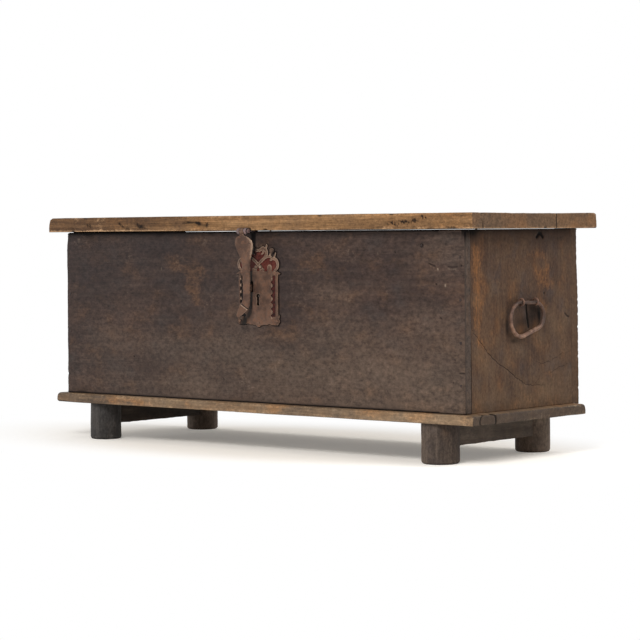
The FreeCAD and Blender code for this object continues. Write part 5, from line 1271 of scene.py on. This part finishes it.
def lock_plate():
    """The lock plate: its outline cut from thin cells, hammered flat, with filed edges, a rope
    border of painted highlights with painted shade between them and a nub border of painted
    highlights, ringed lobes, veins along the scrolls, and a painted highlight on its low lobe.
    Painted shadows of the hasp, its lip and its head lie on it, and painted shade at its lower left
    corner."""
    flat, quads, rim = cut_sheet(plate_outline, (-39.0, 262.0), (84.6, 439.2), 0.72)
    gap = np.abs(plate_outline(flat))
    near, half = from_plate(flat)
    (x, z), (across, rise) = flat.T, near.T
    deep = level_out(flat)
    sink = 0.16 * (1 + ripple(deep, 112, 16.0) * 0.8) + 0.45 * fade(gap, 0.55)
    middle_rows = (rise < -14) & (rise > -106)
    nub = 0.5 + 0.5 * np.cos(TURN * (rise - NUB_LEVEL) / BITE_PITCH)
    uneven_nub = nub ** 2 * (0.75 + 0.35 * ripple(deep, 118, 8.0))
    rope = bell(across + 50.0, 2.4) * middle_rows
    # Wear on filed edges and on the crest; painted highlights on the nubs of the rope border and of
    # the teeth, and on the low lobe.
    wear_and_highlight = 0.55 * fade(gap, 1.1) + 0.34 * ease(rise, 1.0, 8.0) + 0.9 * rope * uneven_nub
    wear_and_highlight += 0.55 * bell(across - 37.4, 2.4) * middle_rows * uneven_nub
    wear_and_highlight += 1.2 * spots(near, (5.0, 10.5), 2.6) + 0.15 * bell(keyhole(near), 5.0)
    # Random dirt, and painted shade between the nubs of the rope border.
    dirt_and_shade = 0.2 * np.maximum(0, ripple(deep, 113, 22.0)) + 0.8 * rope * (1 - nub)
    for middle, radius in RINGED_LOBES:
        ring = bell(disc(half, middle, radius), 0.8)
        sink += 0.55 * ring
        dirt_and_shade += 0.7 * ring
    for strip in CREST_BANDS[:VEINED_BANDS]:
        for side in (1, -1):
            vein, share = seam_distance(near * (side, 1), strip[0])
            line = bell(vein, 0.7) * np.sin(np.pi * np.clip(share, 0.01, 0.99)) ** 0.5
            sink += 0.3 * line
            dirt_and_shade += 0.12 * line
    line = bell(half[:, 0] - 50.6, 0.6) * (rise <= -4)
    sink += 0.35 * line
    # Painted shadows of the hasp, its lip and its head, and painted shade at the lower left corner.
    hasp_shadow = ease(x, -12, -4) * (1 - ease(x, 5.4, 7.4))
    dirt_and_shade += 0.3 * line + 1.4 * hasp_shadow * ease(z, 298, 308)
    dirt_and_shade += 0.6 * np.minimum(spots(flat, ((1, 296), (-5, 287), (-14, 276)), (6.0, 8.0)), 1)
    dirt_and_shade += 1.3 * np.minimum(spots(flat, ((9, 430), (4, 420)), (7.0, 9.0)), 1)
    dirt_and_shade += 0.35 * ease(-across, 30, 40) * ease(-rise, 88, 98)
    front = PLATE_BACK - PLATE_THICK + np.clip(sink, 0, 1.3)
    points, faces = sheet_shell(flat, quads, rim, front, PLATE_BACK)
    marks = {"dirt_and_shade": np.tile(dirt_and_shade, 2), "wear_and_highlight": np.tile(wear_and_highlight, 2)}
    piece("worn_lock_plate", points, faces, "carcass", plate_iron, ["lock_plate"],
          marks, 50)


lock_plate()


def lock_backing():
    """The leather: its outline cut from thin cells, just behind the plate, black as painted shade
    in the left channel, darker along the right one, black as a painted shadow on its rim round the
    plate and under the hasp's head, and dirty in patches."""
    flat, quads, rim = cut_sheet(backing_outline, (-40.0, 260.0), (86.0, 441.0), 1.0)
    across, rise = from_plate(flat)[0].T
    deep = level_out(flat)
    front = PLATE_BACK - 0.12 + 0.1 * ripple(deep, 116, 9.0)
    # Black in the left channel as painted shade, darker in the right one, black along the plate's
    # edges and on the rim beyond it and under the hasp's head as painted shadow, then random dirt.
    dirt_and_shade = 1.2 * (across < -30) * ease(-rise, 4.0, 12.0)
    dirt_and_shade += 0.4 * (across > 35) * ease(-rise, 2.0, 10.0)
    dirt_and_shade += 0.6 * fade(np.abs(plate_outline(flat)), 0.9) + (backing_form(flat) > -0.6)
    dirt_and_shade += 0.35 * np.maximum(0, ripple(deep, 117, 12.0)) + spots(flat, (6, 428), (8.0, 12.0))
    points, faces = sheet_shell(flat, quads, rim, front, PLATE_BACK + 0.5)
    piece("worn_lock_backing", points, faces, "carcass", red_leather,
          ["lock_backing"], {"dirt_and_shade": np.tile(np.clip(dirt_and_shade, 0, 1), 2)})


lock_backing()


# ---------------------------------------------------------------- hasp

# The hasp from top to tip: place along Y and Z of its middle, its middle along X, half its width
# and half its thickness.
HASP_STATIONS = np.array((
    (-217.5, 461.0, 2.2, 5.2, 1.9), (-217.6, 457.0, 2.2, 5.4, 1.9), (-217.5, 454.6, 2.4, 8.8, 1.9),
    (-217.3, 453.0, 2.9, 14.4, 1.9), (-217.1, 450.8, 3.6, 18.2, 1.9),
    (-216.7, 447.6, 4.7, 21.4, 1.9), (-216.1, 444.0, 5.5, 23.6, 1.9),
    (-215.3, 439.5, 6.0, 24.8, 1.9), (-214.4, 434.0, 6.0, 24.8, 1.9),
    (-213.3, 428.0, 6.1, 23.2, 1.9), (-211.9, 420.0, 6.2, 19.6, 1.9),
    (-210.7, 409.0, 6.3, 15.0, 1.9), (-209.9, 398.0, 6.4, 12.3, 1.9),
    (-209.2, 383.0, 6.4, 11.0, 1.9), (-208.7, 368.0, 6.3, 10.5, 1.9),
    (-208.4, 345.0, 6.2, 10.1, 1.9), (-208.9, 324.0, 6.5, 9.9, 1.9),
    (-209.8, 315.5, 5.8, 11.0, 1.8), (-210.3, 311.0, 4.2, 12.3, 1.7),
    (-210.8, 306.0, 2.9, 12.2, 1.6), (-211.1, 300.0, 1.0, 11.0, 1.5),
    (-211.2, 295.0, -1.0, 9.4, 1.4), (-211.2, 290.0, -2.8, 7.8, 1.3),
    (-211.2, 286.0, -4.4, 6.0, 1.2), (-211.2, 283.0, -5.4, 4.2, 1.0),
    (-211.2, 281.4, -6.0, 2.0, 0.7)))
HASP_RINGS = 210
LEAST_HALF = 0.6
# The crease of the hasp's lip: a place on it (x, z), the way across it into the lip, and how far
# the lip leans out.
CREASE = (-9.0, 312.5)
LIP_WAY = np.array((-0.48, -0.877))
LIP_LEAN = math.radians(30)
NICKS = ((15.8, 373.5), (15.4, 346.0), (15.6, 398.0), (-3.8, 352.0))
# The knuckles about the hasp's pin: their outer radius, their bores, the angle of their seam, and
# the hasp's own knuckle along X.
KNUCKLE_RADIUS, HASP_BORE, LEAF_BORE = 6.7, 2.9, 2.6
SEAM = 1.85
HASP_KNUCKLE = (0.1, 11.9)


def through(table, count):
    """Smooth curve through the rows of a table: cubic runs whose slopes come from the rows on
    both sides, at even steps of length."""
    gaps = np.linalg.norm(np.diff(table[:, :2], axis=0), axis=1) ** 0.8
    knots = np.concatenate(([0], np.cumsum(gaps)))
    slopes = np.gradient(table, knots, axis=0)
    where = np.linspace(0, knots[-1], count)
    run = np.clip(np.searchsorted(knots, where, side="right") - 1, 0, len(knots) - 2)
    width = (knots[run + 1] - knots[run])[:, None]
    t = (where[:, None] - knots[run][:, None]) / width
    start, end = table[run], table[run + 1]
    return ((2 * t ** 3 - 3 * t ** 2 + 1) * start + (t ** 3 - 2 * t ** 2 + t) * width * slopes[run]
            + (3 * t ** 2 - 2 * t ** 3) * end + (t ** 3 - t ** 2) * width * slopes[run + 1])


def strap_section(wide, thick):
    """A flat bar's section as places across and out: the front from left to right, a rounded
    corner, the back, and the other corner."""
    corner = min(1.3, wide * 0.5)
    spread = np.linspace(-1, 1, 21)
    bend = np.radians(np.linspace(90, -90, 7)[1:-1])
    flat_half = wide - corner
    front = np.stack((spread * flat_half, np.full(len(spread), thick)), axis=1)
    right = np.stack((flat_half + corner * np.cos(bend), thick * np.sin(bend)), axis=1)
    return np.concatenate((front, right, front[::-1] * (1, -1), right[::-1] * (-1, 1)))


def knuckle(start, end, bore):
    """A rolled knuckle about the hasp's pin: a ring's section, from the bore out and back, carried
    round the pin, with a seam where the roll closes. Gives its points, its faces, and painted shade
    on its ends in the gaps between knuckles with dirt along its seam."""
    y, z = BARREL[1:]
    outer = KNUCKLE_RADIUS
    side = ((0.0, bore), (0.0, outer - 0.9), (0.3, outer - 0.25), (0.9, outer))
    profile = np.array([(start + step, reach) for step, reach in side] +
                       [(end - step, reach) for step, reach in side[::-1]])
    around = 48
    turn = np.arange(around)[:, None] * TURN / around
    seam = bell(turn - SEAM, 0.16) * (profile[:, 1] > bore)
    reach = profile[:, 1] - 0.6 * seam
    points = np.stack(np.broadcast_arrays(profile[:, 0], y + reach * np.cos(turn),
                                          z + reach * np.sin(turn)), axis=-1).reshape(-1, 3)
    sides = np.abs(points[:, 0] - (start + end) / 2) > (end - start) / 2 - 0.8
    faces = tube_faces(around, len(profile), True)[:, ::-1]
    return points, [faces], 0.8 * sides + 0.7 * seam.ravel()


def hasp():
    """The hasp: a flat bar's section carried along its stations, with nicks, hammered flats and a
    lip that leans out past its crease, and the knuckle above it. Its edges are worn; painted
    highlights lie on its upper right edge, where its upper left one is kept dull, and on the bend
    and face of its lip; the back of its lip has painted shade, and its crease dirt."""
    table = through(HASP_STATIONS, HASP_RINGS)
    along = np.gradient(table[:, :2], axis=0)
    along /= np.linalg.norm(along, axis=1, keepdims=True)
    out = np.stack((np.zeros(HASP_RINGS), along[:, 1], -along[:, 0]), axis=1)
    wide = np.maximum(table[:, 3:4], LEAST_HALF)
    sections = np.array([strap_section(*half) for half in zip(wide[:, 0], table[:, 4])])
    around = sections.shape[1]
    points = table[:, None, [2, 0, 1]] + sections[..., :1] * (1, 0, 0)
    flat = (points + sections[..., 1:] * out[:, None]).reshape(-1, 3)
    share = (sections[..., 0] / wide).ravel()
    dents = np.minimum(spots(flat[:, ::2], NICKS, (1.8, 1.3)), 1)
    flat[:, 0] -= np.sign(share) * np.abs(share) ** 8 * 1.7 * dents
    flat[:, 0] += np.abs(share) ** 4 * 0.35 * ripple(flat, 122, 9.0)
    hammer = 0.7 * share ** 6 + 0.3 - 0.22 * ripple(flat, 121, 13.0)
    front = sections[..., 1].ravel() > 0
    back = sections[..., 1].ravel() < 0
    flat -= np.repeat(out, around, axis=0) * (hammer * front * 0.8)[:, None]
    past = (flat[:, ::2] - CREASE) @ LIP_WAY
    # Dirt in the crease, and painted shade on the back of the lip.
    dirt_and_shade = 1.1 * bell(past + 0.8, 1.0) * front + 0.9 * ease(past, 1, 3) * back
    lift = np.maximum(past, 0)
    lean = LIP_LEAN * ease(lift, 0.0, 4.0)
    flat[:, ::2] -= LIP_WAY * (lift * (1 - np.cos(lean)))[:, None]
    flat[:, 1] -= lift * np.sin(lean)
    upper = ease(flat[:, 2], 400, 420)
    # Worn edges; painted highlights on the upper right edge, which the upper left one lacks, and on
    # the bend and face of the lip.
    wear_and_highlight = (0.4 + 0.35 * upper) * np.abs(share) ** 6 + 0.25 * upper * (share > 0.3)
    wear_and_highlight *= np.where(share < 0, 1 - 0.9 * upper, 1.0)
    wear_and_highlight += (0.2 * ease(past, 2, 4) + 0.9 * bell(past - 1.6, 1.0)) * front
    roll, roll_faces, roll_dirt_and_shade = knuckle(*HASP_KNUCKLE, HASP_BORE)
    bar = capped(flat, tube_faces(HASP_RINGS, around), HASP_RINGS, around)
    points, faces = merged((bar, (roll, roll_faces)))
    marks = {"dirt_and_shade": np.concatenate((dirt_and_shade, (0, 0), roll_dirt_and_shade)),
             "wear_and_highlight": np.concatenate((wear_and_highlight, (0, 0), np.full(len(roll), 0.35)))}
    piece("worn_hasp", points, faces, "hasp", plate_iron, ["hasp"], marks, 50)


hasp()

# The hinge leaf: its two knuckles along X, their prongs along Y, its tongue's half width at places
# along Y, the levels of its faces, and the dirt on its prongs and tongue.
LEAF_KNUCKLES = ((-7.7, -0.1), (12.1, 19.7))
LEAF_PRONG = (-213.5, -208.4)
LEAF_HALVES = ((-209.4, 13.6), (-196.0, 13.2), (-186.0, 8.5), (-175.5, 4.2))
LEAF_LEVELS = np.array((464.3, 466.1))
LEAF_GRIME = 0.4


def hinge_leaf():
    """The hinge leaf: two rolled knuckles, a prong behind each, and a tongue under the lid whose
    half width follows its table."""
    parts = []
    for start, end in LEAF_KNUCKLES:
        points, faces = block_surface(np.linspace(start, end, 5), np.linspace(*LEAF_PRONG, 4),
                                      LEAF_LEVELS)
        parts += [knuckle(start, end, LEAF_BORE),
                  (points, [faces], np.full(len(points), LEAF_GRIME))]
    places, halves = np.array(LEAF_HALVES).T
    points, faces = block_surface(np.linspace(-1, 1, 9), np.linspace(places[0], places[-1], 14),
                                  LEAF_LEVELS - 0.05)
    points[:, 0] = BARREL[0] + points[:, 0] * np.interp(points[:, 1], places, halves)
    parts.append((points, [faces], np.full(len(points), LEAF_GRIME)))
    points, faces = merged([part[:2] for part in parts])
    piece("worn_hinge_leaf", points, faces, "lid", barrel_iron, ["hasp_hinge_leaf"],
          {"dirt_and_shade": np.concatenate([part[2] for part in parts])}, 50)


hinge_leaf()


# ---------------------------------------------------------------- ring handles

# The ring: two circles (y, z and radius) that its taut line goes round, its plane along X, and its
# counts of sections and of places round each.
RING_CIRCLES = np.array(((-11.5, 283.4, 34.6), (41.5, 289.5, 26.0)))
RING_PLANE = 572.2
RING_SECTIONS, RING_AROUND = 260, 28


def ring_line(count):
    """The ring's middle line: the taut loop round two circles, at even steps. Each way out from
    the loop is carried by the circle that reaches further that way."""
    turn = np.linspace(0, TURN, 2881)
    ways = np.stack((np.cos(turn), np.sin(turn)), axis=1)
    reach = ways @ RING_CIRCLES[:, :2].T + RING_CIRCLES[:, 2]
    chosen = RING_CIRCLES[reach.argmax(axis=1)]
    line = chosen[:, :2] + chosen[:, 2:] * ways
    length = np.concatenate(([0], np.cumsum(np.linalg.norm(np.diff(line, axis=0), axis=1))))
    where = np.linspace(0, length[-1], count + 1)[:-1]
    return np.stack([np.interp(where, length, line[:, axis]) for axis in (0, 1)], axis=1)


def ring_handle(side, body, node, lot):
    """A ring handle: a bar's round section carried round its line, thicker towards the foot, with
    hammered flats. Its foot is lighter, as wear and a painted highlight; it is darker at its eyes,
    and darker along its right side as painted shade."""
    line = ring_line(RING_SECTIONS)
    along = np.roll(line, -1, axis=0) - np.roll(line, 1, axis=0)
    along /= np.linalg.norm(along, axis=1, keepdims=True)
    away = along[:, None, ::-1] * (1, -1)
    turn = np.arange(RING_AROUND) * TURN / RING_AROUND
    radius = (3.85 + 0.6 * (1 - ease(line[:, 1], 252, 300)))[:, None, None]
    across = np.broadcast_to(side * np.sin(turn)[:, None], (RING_SECTIONS, RING_AROUND, 1))
    outward = np.concatenate((across, np.cos(turn)[:, None] * away), axis=-1)
    middle = np.insert(line, 0, side * RING_PLANE, axis=1)[:, None]
    points = (middle + radius * outward).reshape(-1, 3)
    flats = 0.25 + 0.2 * ripple(points, lot, 12.0) + 0.1 * ripple(points, lot + 1, 4.0)
    points -= outward.reshape(-1, 3) * np.clip(flats, 0, 0.6)[:, None]
    faces = tube_faces(RING_SECTIONS, RING_AROUND, True)[:, ::side]
    # Wear and a painted highlight at the foot; darker at the eyes, and painted shade along the right
    # side.
    wear_and_highlight = 0.38 * (1 - ease(points[:, 2], 250, 290)) + 0.15 * ripple(points, lot + 2, 18.0) + 0.05
    dirt_and_shade = 0.5 * bell(points[:, 2] - 318, 4.0) + 0.45 * ease(points[:, 1], 48, 68)
    piece(f"worn_{node}", points, [faces], body, ring_iron, [node],
          {"wear_and_highlight": wear_and_highlight, "dirt_and_shade": dirt_and_shade})


ring_handle(1, "right_ring", "ring_handle_right", 131)
ring_handle(-1, "left_ring", "ring_handle_left", 141)


# ---------------------------------------------------------------- nails

# A nail head's profile from its middle out and down: shares of its radius and of its rise.
HEAD_PROFILE = np.array(((0.12, 1.0), (0.4, 0.92), (0.72, 0.68), (0.93, 0.36), (1.0, 0.05),
                         (0.9, -0.4), (0.3, -1.6)))
HEAD_AROUND = 14


def forged_heads(node, places, way, radius, rise, finish, lot):
    """Forged nail heads: each a low faceted dome, its outline uneven, closed by a short cone
    below the surface. `way` is -1 for a head that faces the front and 1 for the back."""
    draw = np.random.default_rng(lot)
    turn = np.arange(HEAD_AROUND) * TURN / HEAD_AROUND
    shares, levels = HEAD_PROFILE[:, :1], HEAD_PROFILE[:, 1:]
    shells = []
    for x, y, z in places:
        lobes = 1 - 0.06 * (1 + np.cos(turn * 3 + draw.uniform(0, TURN)))
        lobes -= draw.uniform(0, 0.1, HEAD_AROUND)
        flats = 1 - draw.uniform(0, 0.25, HEAD_AROUND)
        rays = radius * shares * lobes
        rises = rise * np.where(levels > 0.5, levels * flats, levels)
        points = np.stack((x + rays * np.cos(turn), y + way * rises, z + rays * np.sin(turn)),
                          axis=-1).reshape(-1, 3)
        points, faces = capped(points, tube_faces(len(HEAD_PROFILE), HEAD_AROUND),
                               len(HEAD_PROFILE), HEAD_AROUND)
        shells.append((points, [part[:, ::-way] for part in faces]))
    points, faces = merged(shells)
    top = np.append(np.repeat(levels > 0.6, HEAD_AROUND), (True, False))
    piece(f"worn_{node}", points, faces, "carcass", finish, [node],
          {"wear_and_highlight": np.tile(top * rise * 0.3, len(places))}, 60)


corner_rows = [(side * 553.4, level) for side in (-1, 1) for level in (158.3, 242.3, 326.3, 410.3)]
tack_rows = PLATE_PLACE + (NAIL_LOBE, (-NAIL_LOBE[0], NAIL_LOBE[1]), (52.7, -104.5),
                           (-52.7, -104.5), (0.0, -108.0))
for lot, (node, rows, level, way, radius, rise, finish) in enumerate((
        ("front_nails", corner_rows, -188.0, -1, 3.4, 0.5, dark_iron),
        ("back_nails", corner_rows, 201.0, 1, 4.0, 1.2, dark_iron),
        ("odd_nail", [(458.0, 434.0)], -188.0, -1, 2.8, 0.9, dark_iron),
        ("lock_plate_nails", tack_rows, -190.4, -1, 3.2, 1.4, plate_iron)), start=151):
    forged_heads(node, [(x, level, z) for x, z in rows], way, radius, rise, finish, lot)


# ---------------------------------------------------------------- finishes on kept CAD nodes

for finish, kept_nodes in (
        (plate_iron, ("hasp_staple",)),
        (barrel_iron, ("hasp_hinge_pin",)),
        (ring_iron, ("handle_eyes_right", "handle_eyes_left")),
        (dark_iron, ("hinge_staples", "lid_hinge_eyes", "base_nails", "beam_nails",
                     "hasp_leaf_nails")),
        (lock_iron, ("lock_case", "lock_bolt", "bolt_keepers", "lock_spring", "key_pin")),
        (peg_wood, ("lid_dowels",))):
    for node in kept_nodes:
        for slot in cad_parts[node].material_slots:
            slot.material = finish


# ---------------------------------------------------------------- studio

WHITE = (1.0, 1.0, 1.0, 1.0)
SOFT_LIGHT = (1.0, 0.965, 0.915, 1.0)
SOFT_LEVEL = 0.5
# The floor: half its side in metres, its colour near the chest, warmer as painted bounce light in
# the chest's shadow, and further out, and the light that it adds for the camera.
FLOOR_HALF = 40.0
NEAR_FLOOR = (0.95, 0.904, 0.838, 1.0)
FAR_FLOOR = (0.975, 0.97, 0.962, 1.0)
FLOOR_GLOW = (1.0, 0.965, 0.91, 1.0)
GLOW_LEVEL = 0.188
# The floor's shades follow ovals about the chest, which is half as deep as it is long: distances
# over which its colour changes, and over which it turns to plain white.
OVAL = (1, 2, 1)
SHADE_RUN, WHITE_RUN = (0.45, 0.95), (0.52, 1.1)


def stand(name, data):
    """Adds an object to the scene."""
    item = bpy.data.objects.new(name, data)
    bpy.context.scene.collection.objects.link(item)
    return item


def seen_share(tree):
    """A socket that is 1 for camera, glossy and transmission rays."""
    path = tree.nodes.new("ShaderNodeLightPath")
    share = path.outputs["Is Camera Ray"]
    for word in ("Is Glossy Ray", "Is Transmission Ray"):
        top = tree.nodes.new("ShaderNodeMath")
        top.operation = "MAXIMUM"
        tree.links.new(share, top.inputs[0])
        tree.links.new(path.outputs[word], top.inputs[1])
        share = top.outputs[0]
    return share


def studio_world():
    """A white world to the camera and in reflections, softer as light."""
    world = bpy.data.worlds.new("studio")
    world.use_nodes = True
    tree = world.node_tree
    tree.nodes.clear()
    output = tree.nodes.new("ShaderNodeOutputWorld")
    blend = tree.nodes.new("ShaderNodeMixShader")
    tree.links.new(seen_share(tree), blend.inputs[0])
    for place, (colour, level) in enumerate(((SOFT_LIGHT, SOFT_LEVEL), (WHITE, 1.0)), start=1):
        light = tree.nodes.new("ShaderNodeBackground")
        light.inputs["Color"].default_value = colour
        light.inputs["Strength"].default_value = level
        tree.links.new(light.outputs[0], blend.inputs[place])
    tree.links.new(blend.outputs[0], output.inputs[0])
    bpy.context.scene.world = world


def studio_floor():
    """A pale floor: warmer near the chest as painted bounce light in its shadow, with a little white
    added for the camera, and plain white a little way out from it."""
    mesh = bpy.data.meshes.new("floor")
    corners = [(x * FLOOR_HALF, y * FLOOR_HALF, 0) for x, y in ((-1, -1), (1, -1), (1, 1), (-1, 1))]
    mesh.from_pydata(corners, [], [(0, 1, 2, 3)])
    finish = Finish("floor", {"Roughness": 0.9, "Specular IOR Level": 0.1})
    oval = finish.vector("MULTIPLY", finish.node("TexCoord", out=3), OVAL)
    away = finish.node("VectorMath", {"operation": "LENGTH"}, {0: oval}, out=1)
    finish.use(base_color=finish.mix(away.step(*SHADE_RUN), NEAR_FLOOR, FAR_FLOOR))
    tree = finish.tree
    seen = Reading(finish, seen_share(tree))
    matt = Reading(finish, finish.shader.outputs[0])
    glow, clear = (finish.node("Emission", {}, {"Color": colour, "Strength": level})
                   for colour, level in ((FLOOR_GLOW, seen * GLOW_LEVEL), (WHITE, 1.0)))
    lit = finish.node("AddShader", {}, {0: matt, 1: glow})
    both = finish.node("MixShader", {},
                       {0: seen * away.step(*WHITE_RUN), 1: lit, 2: clear})
    tree.links.new(both.socket, finish.output.inputs[0])
    mesh.materials.append(finish.material)
    item = stand("floor", mesh)


def softbox(name, place, target, size, power):
    """A square area lamp that faces a place."""
    lamp = bpy.data.lights.new(name, "AREA")
    lamp.shape = "SQUARE"
    lamp.size = size
    lamp.energy = power
    item = stand(name, lamp)
    item.location = place
    item.rotation_euler = (Vector(target) - Vector(place)).to_track_quat("-Z", "Y").to_euler()


# The camera: its place in metres, its turns in radians, its lens and sensor in millimetres, how
# far its frame is shifted down, and how far it sees.
CAMERA_PLACE = (3.23862, -3.75508, 0.45805)
CAMERA_YAW = 0.7066265
CAMERA_ROLL = -0.0072706
CAMERA_LENS = 128.166
SENSOR = 36.0
HORIZON_SHIFT = -0.13445
CAMERA_SIGHT = 200.0


def studio_camera():
    """A level camera with a slight roll, turned by its yaw about Z, its frame shifted down."""
    ahead = Vector((-math.sin(CAMERA_YAW), math.cos(CAMERA_YAW), 0))
    level = Vector((math.cos(CAMERA_YAW), math.sin(CAMERA_YAW), 0))
    upright = Vector((0, 0, 1))
    right = level * math.cos(CAMERA_ROLL) + upright * math.sin(CAMERA_ROLL)
    up = upright * math.cos(CAMERA_ROLL) - level * math.sin(CAMERA_ROLL)
    camera = bpy.data.cameras.new("camera")
    camera.sensor_width = SENSOR
    camera.lens = CAMERA_LENS
    camera.shift_y = HORIZON_SHIFT
    camera.clip_end = CAMERA_SIGHT
    item = stand("camera", camera)
    turn = Matrix((right, up, -ahead)).transposed().to_4x4()
    item.matrix_world = Matrix.Translation(CAMERA_PLACE) @ turn
    bpy.context.scene.camera = item


studio_world()
studio_floor()
softbox("front_softbox", (1.8, -3.85, 2.95), (0, 0, 0.25), 1.3, 140)
softbox("end_softbox", (3.7, 1.0, 3.3), (0.5, 0, 0.3), 1.8, 100)
softbox("left_softbox", (-3.8, -2.2, 0.9), (0, 0, 0.2), 1.5, 42)
studio_camera()
bpy.context.scene.view_settings.view_transform = "Standard"
